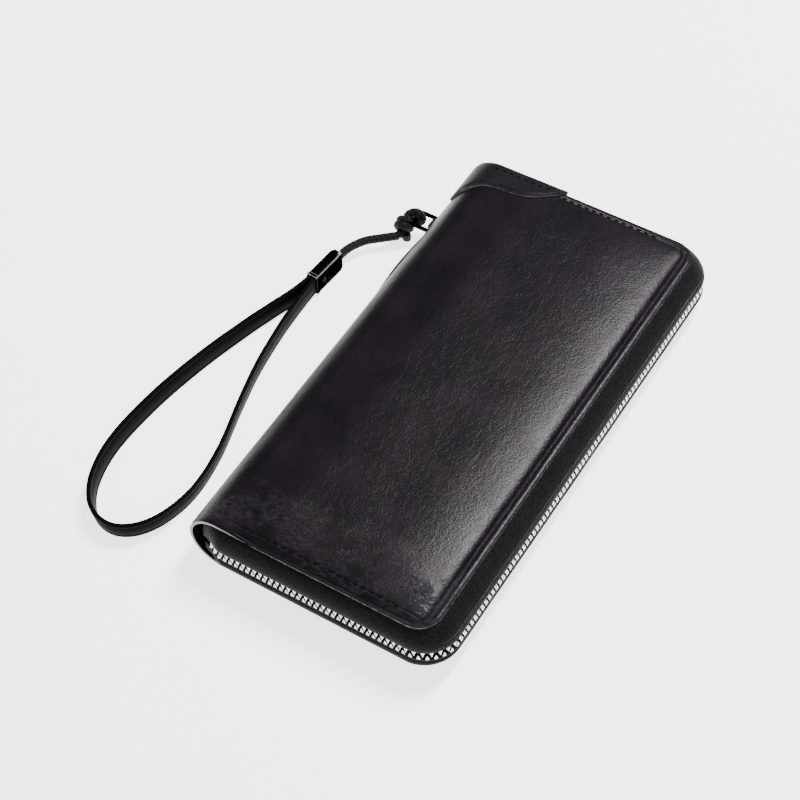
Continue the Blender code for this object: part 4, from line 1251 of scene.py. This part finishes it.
def make_corner_patch():
    """Second layer of leather at the far spine corner, with a creased and painted free edge; that edge paint is
    lighter than the leather, partly a painted highlight.
    """
    outer_y = HALF_L - 0.0002
    inset = ((0.0, -0.0003), (0.0, 0.0004), (0.0003, 0.00078), (0.0008, PATCH_LIFT),
             (0.0014, PATCH_LIFT), (0.0018, 0.00070), (0.0022, PATCH_LIFT))
    rings = []
    for i in range(PATCH_STATIONS + 1):
        share = i / PATCH_STATIONS
        depth = max(0.0016, patch_depth(patch_station(share)[0]))
        scale = min(1.0, depth / 0.0050)
        ring = [on_patch(share, outer_y - depth + d * scale, lift) for d, lift in inset]
        for k in range(1, 7):
            y = outer_y - (depth - 0.0022 * scale) * (1 - k / 7)
            ring.append(on_patch(share, y, PATCH_LIFT))
        ring += [on_patch(share, outer_y - 0.0003, PATCH_LIFT - 0.00010),
                 on_patch(share, outer_y, PATCH_LIFT - 0.0004), on_patch(share, outer_y, -0.0003)]
        rings.append(ring)
    patch = loft("corner_patch_leather", rings, "patch", sharp=50)
    count = len(rings[0])
    # The free edge's faces take the same lighter edge paint, partly a painted highlight.
    second_material(patch, "edge", lambda polygon: polygon.index < PATCH_STATIONS * count
                    and polygon.index % count < 2)
    settle(patch, "front_half", "patch_leather", "corner_patch")


STITCH_PITCH = 0.0032
STITCH_SHARE = 0.68           # of the pitch is thread on top


def make_stitches(name, points, body, up=Vector((0, 0, 1)), radius=0.00022):
    """Row of thread stitches along a line of points; each dips in at both ends."""
    route = catmull(points, 0.0004)
    length = route_length(route)
    per_step = (len(route) - 1) / length
    parts = []
    for k in range(int(length / STITCH_PITCH)):
        begin = k * STITCH_PITCH + STITCH_PITCH * (1 - STITCH_SHARE) / 2
        rings = []
        for j in range(7):
            share = j / 6
            place = (begin + STITCH_PITCH * STITCH_SHARE * share) * per_step
            index = min(int(place), len(route) - 2)
            point = route[index].lerp(route[index + 1], place - index)
            along = (route[index + 1] - route[index]).normalized()
            side = along.cross(up).normalized()
            bow = math.sin(math.pi * share)
            centre = point + up * radius * (1.5 * bow - 0.8)
            thick = radius * (0.45 + 0.55 * bow ** 0.6)
            ring = [centre + side * thick * 1.15 * math.cos(a) + up * thick * math.sin(a)
                    for a in (math.pi * t / 3 for t in range(6))]
            rings.append(ring)
        parts.append(rings)
    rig.ride(join_parts(name, parts, "thread", sharp=80), body)


def make_cover_stitches():
    """Threads along both short sides of the front face, over the patch at the far one."""
    over = []
    for i in range(16, 54):
        share = i / PATCH_STATIONS
        if patch_depth(patch_station(share)[0]) > 0.0042:
            over.append(on_patch(share, FAR_SEAM_Y, PATCH_LIFT))
    make_stitches("patch_stitches", over, "front_half")
    start = round(over[-1][0] * 1000) + 2
    for name, seam_y, first in (("far", FAR_SEAM_Y, start), ("near", NEAR_SEAM_Y, -30)):
        line = [(x / 1000, seam_y, cover_top(x / 1000, seam_y)) for x in range(first, 36, 2)]
        make_stitches(f"{name}_edge_stitches", line, "front_half")


KEEPER_THICKNESS = 0.0012
KEEPER_BOW = 0.0016           # of the long keeper; a short one bows less
KEEPER_LONG = 0.043
KEEPER_ANGLES = (183.0, 214.0)          # around the spine, its two long edges


def make_keeper(node):
    """Strap of leather along the spine that bows out, creased along both long edges."""
    low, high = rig.box(node)
    length = high[1] - low[1]
    first, last = KEEPER_ANGLES
    bow = KEEPER_BOW * min(1.0, length / KEEPER_LONG)
    profile = ((0.0, 0.0), (1.0, 0.0), (1.03, 0.3), (1.0, 0.85), (0.95, 1.0), (0.88, 1.0), (0.855, 0.82),
               (0.83, 1.0), (0.5, 1.04), (0.17, 1.0), (0.145, 0.82), (0.12, 1.0), (0.05, 1.0),
               (0.0, 0.85), (-0.03, 0.3))
    rings = []
    steps = 28
    for i in range(steps + 1):
        share = i / steps
        lift = 0.0003 + bow * math.sin(math.pi * share)
        end = 0.75 + 0.25 * smoothstep(min(share, 1 - share) * length / 0.0008)
        ring = []
        for across, up in profile:
            angle = math.radians(first + (last - first) * across)
            x, z = spine_point(angle, MID_Z + lift + KEEPER_THICKNESS * up * end)
            ring.append((x, low[1] + length * share, z))
        rings.append(ring)
    keeper = loft(f"{node}_leather", rings, "keeper", sharp=50)
    settle(keeper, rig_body(node), "strap_leather", node)


def make_sleeve():
    """Leather loop rolled around the ring's bar."""
    low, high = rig.box("ring_sleeve")
    centre_x, centre_z = (low[0] + high[0]) / 2, (low[2] + high[2]) / 2
    outer, inner = (high[0] - low[0]) / 2, RING_WIRE / 2 + 0.0003
    y_low, y_high = low[1], high[1]
    profile = [(inner, y_low + 0.0002), (inner, y_high - 0.0002), (inner + 0.0002, y_high),
               (outer - 0.0003, y_high), (outer, y_high - 0.0003), (outer, y_high - 0.0008),
               (outer - 0.00014, y_high - 0.0010), (outer, y_high - 0.0012),
               (outer, y_low + 0.0012), (outer - 0.00014, y_low + 0.0010), (outer, y_low + 0.0008),
               (outer, y_low + 0.0003), (outer - 0.0003, y_low), (inner + 0.0002, y_low)]
    rings = []
    steps = 28
    for k in range(steps):
        angle = 2 * math.pi * k / steps
        rings.append([(centre_x + r * math.cos(angle), y, centre_z + r * math.sin(angle))
                      for r, y in profile])
    sleeve = loft("ring_sleeve_leather", rings, "keeper", sharp=50, closed_path=True)
    settle(sleeve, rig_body("ring_sleeve"), "strap_leather", "ring_sleeve")


def make_ring():
    """Rounded rectangle of plated wire."""
    radius, wire = 0.0014, RING_WIRE / 2
    inset = Vector((wire, wire, wire))
    outline = rounded_outline(ring_low + inset, ring_high - inset, radius, radius, 6)
    rings = []
    for i, point in enumerate(outline):
        before, after = Vector(outline[i - 1]), Vector(outline[(i + 1) % len(outline)])
        along = (after - before).normalized()
        side = Vector((along.y, -along.x, 0))
        centre = Vector((point[0], point[1], RING_Z))
        rings.append([centre + wire * (math.cos(a) * side + math.sin(a) * Vector((0, 0, 1)))
                      for a in (math.pi * t / 8 for t in range(16))])
    ring = loft("ring_wire", rings, "gunmetal", sharp=80, closed_path=True)
    settle(ring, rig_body("strap_ring"), "gunmetal", "strap_ring")


make_corner_patch()
make_cover_stitches()
make_keeper("ring_keeper_long")
make_keeper("ring_keeper_short")
make_sleeve()
make_ring()


# ---- Sliders, pulls and stops ---------------------------------------------------------------

def slider_place(origin, turned):
    """Local X along the zip, local Y out of it and local Z across it, put in the world."""
    def place(x, y, z):
        if turned:
            return (origin[0] + y, origin[1] - x, origin[2] + z)
        return (origin[0] + x, origin[1] + y, origin[2] + z)
    return place


def block_rings(place, low, high, corner, bevel):
    """Rounded slab, flat across local Y, with eased edges."""
    half_x, half_z = (high[0] - low[0]) / 2, (high[2] - low[2]) / 2
    mid_x, mid_z = (high[0] + low[0]) / 2, (high[2] + low[2]) / 2
    levels = ((low[1], bevel), (low[1] + bevel * 0.3, bevel * 0.3), (low[1] + bevel, 0.0),
              (high[1] - bevel, 0.0), (high[1] - bevel * 0.3, bevel * 0.3), (high[1], bevel))
    rings = []
    for y, inset in levels:
        outline = rounded_rectangle(half_x - inset, half_z - inset, max(0.00005, corner - inset), 4)
        rings.append([place(mid_x + x, y, mid_z + z) for x, z in outline])
    return rings


def ribbon_rings(place, path, half_t, half_w):
    """Bar with a rounded section along a path in local X and Y."""
    rings = []
    for i, (x, y) in enumerate(path):
        before, after = path[max(i - 1, 0)], path[min(i + 1, len(path) - 1)]
        along = Vector((after[0] - before[0], after[1] - before[1])).normalized()
        side = (along.y, -along.x)
        section = rounded_rectangle(half_t, half_w, half_t * 0.55, 3)
        rings.append([place(x + side[0] * t, y + side[1] * t, w) for t, w in section])
    return rings


MAIN_SLIDER = {"length": 0.0120, "plate": 0.0010, "half_room": 0.0016, "half_width": 0.0041,
               "inner_half_width": 0.0041, "post_start": 0.0054, "post_end": 0.0022,
               "post_half": 0.0011, "arch_half": 0.0040, "arch_rise": 0.0024, "arch_bar": 0.0010,
               "arch_width": 0.0020}
COIN_SLIDER = {"length": 0.0090, "plate": 0.0007, "half_room": 0.0012, "half_width": 0.0028,
               "inner_half_width": 0.0012, "post_start": 0.0040, "post_end": 0.0016,
               "post_half": 0.0008, "arch_half": 0.0031, "arch_rise": 0.0020, "arch_bar": 0.0008,
               "arch_width": 0.0016}
MAIN_PULL = {"length": 0.022, "half_width": 0.0034, "thickness": 0.0008}
COIN_PULL = {"length": 0.012, "half_width": 0.0026, "thickness": 0.0006}


def make_slider(node, sizes, turned, body):
    """Two rounded plates joined by a post, with a bent arch for the pull."""
    room, plate, half_x = sizes["half_room"], sizes["plate"], sizes["length"] / 2
    face, half_z, inner_z = room + plate, sizes["half_width"], sizes["inner_half_width"]
    low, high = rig.box(node)
    origin = (low + high) / 2
    if turned:
        origin.x = low.x + face
    else:
        origin.y = low.y + face
    place = slider_place(origin, turned)
    bar, reach = sizes["arch_bar"], sizes["arch_half"]
    top = face + sizes["arch_rise"] - bar / 2
    parts = [block_rings(place, (-half_x, room, -half_z), (half_x, face, half_z), 0.0014, plate * 0.4),
             block_rings(place, (-half_x, -face, -inner_z), (half_x, -room, inner_z),
                         min(0.0014, inner_z * 0.8), plate * 0.4),
             block_rings(place, (-sizes["post_start"], -room - plate / 3, -sizes["post_half"]),
                         (-sizes["post_end"], room + plate / 3, sizes["post_half"]), 0.0004, 0.0001)]
    foot, bend = reach - bar / 2, 0.0009
    path = [(-foot, face - plate / 3), (-foot, face)]
    path += reversed(arc((-foot + bend, top - bend), bend, 90, 180, 5))
    path += reversed(arc((foot - bend, top - bend), bend, 0, 90, 5))
    path += [(foot, face), (foot, face - plate / 3)]
    parts.append(ribbon_rings(place, path, bar / 2, sizes["arch_width"] / 2))
    slider = join_parts(f"{node}_metal", parts, "slider")
    settle(slider, body, "zip_metal", node)


def prism(name, outline, half_height, place):
    """Outline in local X and Z, drawn out both ways along local Y."""
    rings = [[place(x, y, z) for x, z in outline] for y in (-half_height, half_height)]
    return add_piece(name, flatten(rings), skin(rings), "slider", smooth=False)


def make_pull(node, slider, sizes, turned, body):
    """Flat tab with a hook window and a slot, its free end rounded and all edges eased."""
    half_z, half_t, length = sizes["half_width"], sizes["thickness"] / 2, sizes["length"]
    low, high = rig.box(node)
    origin = (low + high) / 2
    if turned:
        origin.y = low.y + half_t
    else:
        origin.x = high.x - half_t
    place = slider_place(origin, turned)
    waist = half_z * 0.86
    outline = [(half_t, -half_z + 0.0004), (half_t, half_z - 0.0004), (half_t - 0.0004, half_z)]
    outline += [(-length * 0.30, half_z), (-length * 0.40, waist), (-length * 0.62, waist)]
    tip = half_z * 0.98
    outline += arc((-length + tip, 0.0), tip, 90, 270, 16)
    outline += [(-length * 0.62, -waist), (-length * 0.40, -waist), (-length * 0.30, -half_z),
                (half_t - 0.0004, -half_z)]
    pull = prism(f"{node}_tab", outline, half_t, place)
    window_end = slider["arch_half"] + 0.0008
    window_half = slider["arch_width"] / 2 + 0.0004
    window = [(-window_end, -window_half), (-half_t, -window_half), (-half_t, window_half),
              (-window_end, window_half)]
    slot_half = half_z - 0.0018
    slot_start, slot_end = -length * 0.66, -length + 0.0021
    slot = (arc((slot_end + slot_half, 0.0), slot_half, 90, 270, 8)
            + [(slot_start, -slot_half), (slot_start, slot_half)])
    for cut_outline in (window, slot):
        tool = prism("cutter", cut_outline, 3 * half_t, place)
        cut = pull.modifiers.new("cut", 'BOOLEAN')
        cut.object = tool
        cut.operation = 'DIFFERENCE'
        apply_modifiers(pull)
        bpy.data.objects.remove(tool)
    ease_edges(pull, half_t * 0.45, 40)
    pull.data.shade_smooth()
    pull.data.set_sharp_from_angle(angle=math.radians(50))
    settle(pull, body, "zip_metal", node)


def make_stop(node):
    """Small crimped clip at the end of a tooth row."""
    low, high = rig.box(node)
    place = slider_place((0.0, 0.0, 0.0), False)
    rings = block_rings(place, low, high, 0.0004, 0.0002)
    stop = join_parts(f"{node}_clip", [rings], "teeth")
    settle(stop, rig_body(node), "zip_metal", node)


make_slider("zip_slider", MAIN_SLIDER, False, "main_slider")
make_pull("zip_pull", MAIN_SLIDER, MAIN_PULL, False, "main_pull")
make_slider("coin_slider", COIN_SLIDER, True, "small_slider")
make_pull("coin_pull", COIN_SLIDER, COIN_PULL, True, "small_pull")
for half_name in ("back", "front"):
    for end_name in ("near", "far"):
        make_stop(f"zip_stop_{half_name}_{end_name}")


# ---- Inside -----------------------------------------------------------------------------------

def leather_plate(node, material, slot, corners, crease=0.0013, soft=0.00005):
    """Thin plate with rolled edges and a crease line beside them; corners: spine side, zip side."""
    low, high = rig.box(node)
    half_t, mid_z = (high[2] - low[2]) / 2, (high[2] + low[2]) / 2

    def level(inset, z):
        spine_radius, zip_radius = (max(0.0002, c - inset) for c in corners)
        edge = Vector((inset, inset, 0))
        points = rounded_outline(low + edge, high - edge, spine_radius, zip_radius, 5)
        return [(x, y, z) for x, y in points]

    levels = [(crease + 0.0004, 1.0), (crease + 0.0002, 1.0), (crease, 0.62), (crease - 0.0002, 1.0),
              (0.5 * half_t + 0.0002, 1.0), (0.22 * half_t, 0.72), (0.0, 0.25)]
    rings = [level(inset, mid_z - half_t * up) for inset, up in levels]
    rings += [level(inset, mid_z + half_t * up) for inset, up in reversed(levels)]
    for share in (0.2, 0.45, 0.8):
        inset, reach = crease + 0.0004 + 0.008 * share, half_t + soft * share
        rings.append(level(inset, mid_z + reach))
        rings.insert(0, level(inset, mid_z - reach))
    plate = loft(f"{node}_soft", rings, material, sharp=70)
    settle(plate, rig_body(node), slot, node)
    return low, high


def edge_stitches(node, low, high, face_z, inset, sides):
    """Threads along some sides of a plate's face."""
    ends = {"mouth": [(high[0] - inset, low[1] + 0.006), (high[0] - inset, high[1] - 0.006)],
            "near": [(low[0] + 0.004, low[1] + inset), (high[0] - 0.005, low[1] + inset)],
            "far": [(low[0] + 0.004, high[1] - inset), (high[0] - 0.005, high[1] - inset)]}
    up = Vector((0, 0, 1 if face_z > (low[2] + high[2]) / 2 else -1))
    for side in sides:
        (x0, y0), (x1, y1) = ends[side]
        points = [(x0 + (x1 - x0) * t / 4, y0 + (y1 - y0) * t / 4, face_z) for t in range(5)]
        make_stitches(f"{node}_{side}_stitches", points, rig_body(node), up, 0.00017)


def make_inside():
    """Linings, card panels and the coin pocket's walls."""
    for name in ("back", "front"):
        leather_plate(f"{name}_lining", "lining", "lining_fabric", (0.001, 0.007), 0.0016)
        for column in ("near", "far"):
            for level in (1, 2):
                node = f"{name}_card_panel_{column}_{level}"
                low, high = leather_plate(node, "panel", "panel_leather", (0.001, 0.002), 0.0011)
                if level == 2:
                    inner = high[2] if name == "back" else low[2]
                    edge_stitches(node, low, high, inner, 0.0019, ("near", "far"))
    for name in ("back", "front"):
        node = f"coin_pocket_{name}_wall"
        low, high = leather_plate(node, "panel", "panel_leather", (0.001, 0.003), 0.0014, 0.00012)
        outer = low[2] if name == "back" else high[2]
        edge_stitches(node, low, high, outer, 0.0027, ("mouth", "near", "far"))


def make_coin_gusset():
    """Folded strip inside the coin pocket along the spine and its two ends."""
    low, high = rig.box("coin_pocket_gusset")
    corner = 0.0025
    line = [Vector((high[0], low[1]))]
    line += [Vector(p) for p in reversed(arc((low[0] + corner, low[1] + corner), corner, 180, 270, 5))]
    line += [Vector((low[0], low[1] + (high[1] - low[1]) * t / 8)) for t in range(1, 8)]
    line += [Vector(p) for p in reversed(arc((low[0] + corner, high[1] - corner), corner, 90, 180, 5))]
    line += [Vector((high[0], high[1]))]
    height = high[2] - low[2]
    fold = ((0.0, 0.0), (0.0, 0.10), (0.0006, 0.34), (0.0010, 0.5), (0.0006, 0.66), (0.0, 0.90),
            (0.0, 1.0), (0.0004, 1.0), (0.0005, 0.90), (0.0009, 0.66), (0.0013, 0.5), (0.0009, 0.34),
            (0.0005, 0.10), (0.0004, 0.0))
    rings = []
    for i, point in enumerate(line):
        along = tangent(line, i)
        inward = Vector((-along.y, along.x))
        if inward.dot(Vector(((low[0] + high[0]) / 2, 0.0)) - point) < 0:
            inward = -inward
        rings.append([(point.x + inward.x * o, point.y + inward.y * o, low[2] + height * up)
                      for o, up in fold])
    gusset = loft("coin_gusset_fold", rings, "lining", sharp=60)
    settle(gusset, "coin_page", "lining_fabric", "coin_pocket_gusset")


def make_coin_tape(name, sign):
    """Tape sewn in the pocket's mouth, turned up to carry the teeth."""
    node = f"coin_{name}_tape"
    low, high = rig.box(node)
    root = high[2] if sign > 0 else low[2]
    tip = low[2] if sign > 0 else high[2]
    step = 0.0005 * sign
    edge = high[0]
    profile = [(low[0], root), (edge - 0.0003, root), (edge, root - step * 0.6), (edge, tip + step),
               (edge + 0.0001, tip + step * 0.4), (edge - 0.0001, tip), (edge - 0.0004, tip),
               (edge - 0.0006, tip + step * 0.4), (edge - 0.0005, tip + step),
               (edge - 0.0006, root - step / 2), (low[0], root - step / 2)]
    rings = []
    steps = 60
    for i in range(steps + 1):
        y = low[1] + (high[1] - low[1]) * i / steps
        wander = 0.00005 * noise.noise(Vector((y * 120, sign, 0)))
        rings.append([(x + wander, y, z) for x, z in profile])
    tape = loft(f"{node}_woven", rings, "tape", sharp=60)
    settle(tape, "coin_page", "zip_tape", node)


COIN_TOOTH_PITCH = 0.0024
COIN_TOOTH = ((0.0, 0.00088), (0.0007, 0.00084), (0.0015, 0.00052), (0.0019, 0.00028), (0.0021, 0.00014))
COIN_TOOTH_ROOT = -0.0014     # below the zip's middle
COIN_TOOTH_HALF_DEPTH = 0.0009


def make_coin_teeth(name, sign):
    """A row of separate small teeth along the pocket's mouth."""
    node = f"coin_{name}_teeth"
    low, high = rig.box(node)
    middle_x = (low[0] + high[0]) / 2
    start = low[1] + 0.0012 + (COIN_TOOTH_PITCH / 2 if sign > 0 else 0.0)
    count = int((high[1] - start - 0.0010) / COIN_TOOTH_PITCH)

    def tooth_at(middle_y):
        def place(s, depth, z):
            return (middle_x + depth, middle_y + s, MID_Z - sign * z)
        return tooth_rings(place, COIN_TOOTH_ROOT, COIN_TOOTH, COIN_TOOTH_HALF_DEPTH)

    teeth = tooth_row(f"{node}_metal", tooth_at, start, COIN_TOOTH_PITCH, count)
    settle(teeth, "coin_page", "zip_metal", node)


make_inside()
make_coin_gusset()
for half_name, half_sign in (("back", -1), ("front", 1)):
    make_coin_tape(half_name, half_sign)
    make_coin_teeth(half_name, half_sign)


# ---- Finish -----------------------------------------------------------------------------

def make_floor():
    """Pale ground just under the wallet, bright as in a light tent."""
    bpy.ops.mesh.primitive_plane_add(size=6.0, location=(0, 0, -0.00005))
    floor = bpy.context.object
    floor.name = "floor"
    s = Shading("floor_paint", 0.7)
    s.colour((0.93, 0.96, 0.94))
    s.shader.inputs["Emission Color"].default_value = (0.97, 1.0, 0.98, 1)
    s.shader.inputs["Emission Strength"].default_value = 2.6
    floor.data.materials.append(s.material)
    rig.stage(floor)


def plain(box):
    """A box as plain lists of numbers."""
    return [[float(c) for c in corner] for corner in box]


bpy.context.view_layer.update()
make_floor()
with open("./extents.json", "w") as file:
    json.dump({"cad": plain(cad_bounds), "visual": plain(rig.bounds())}, file)
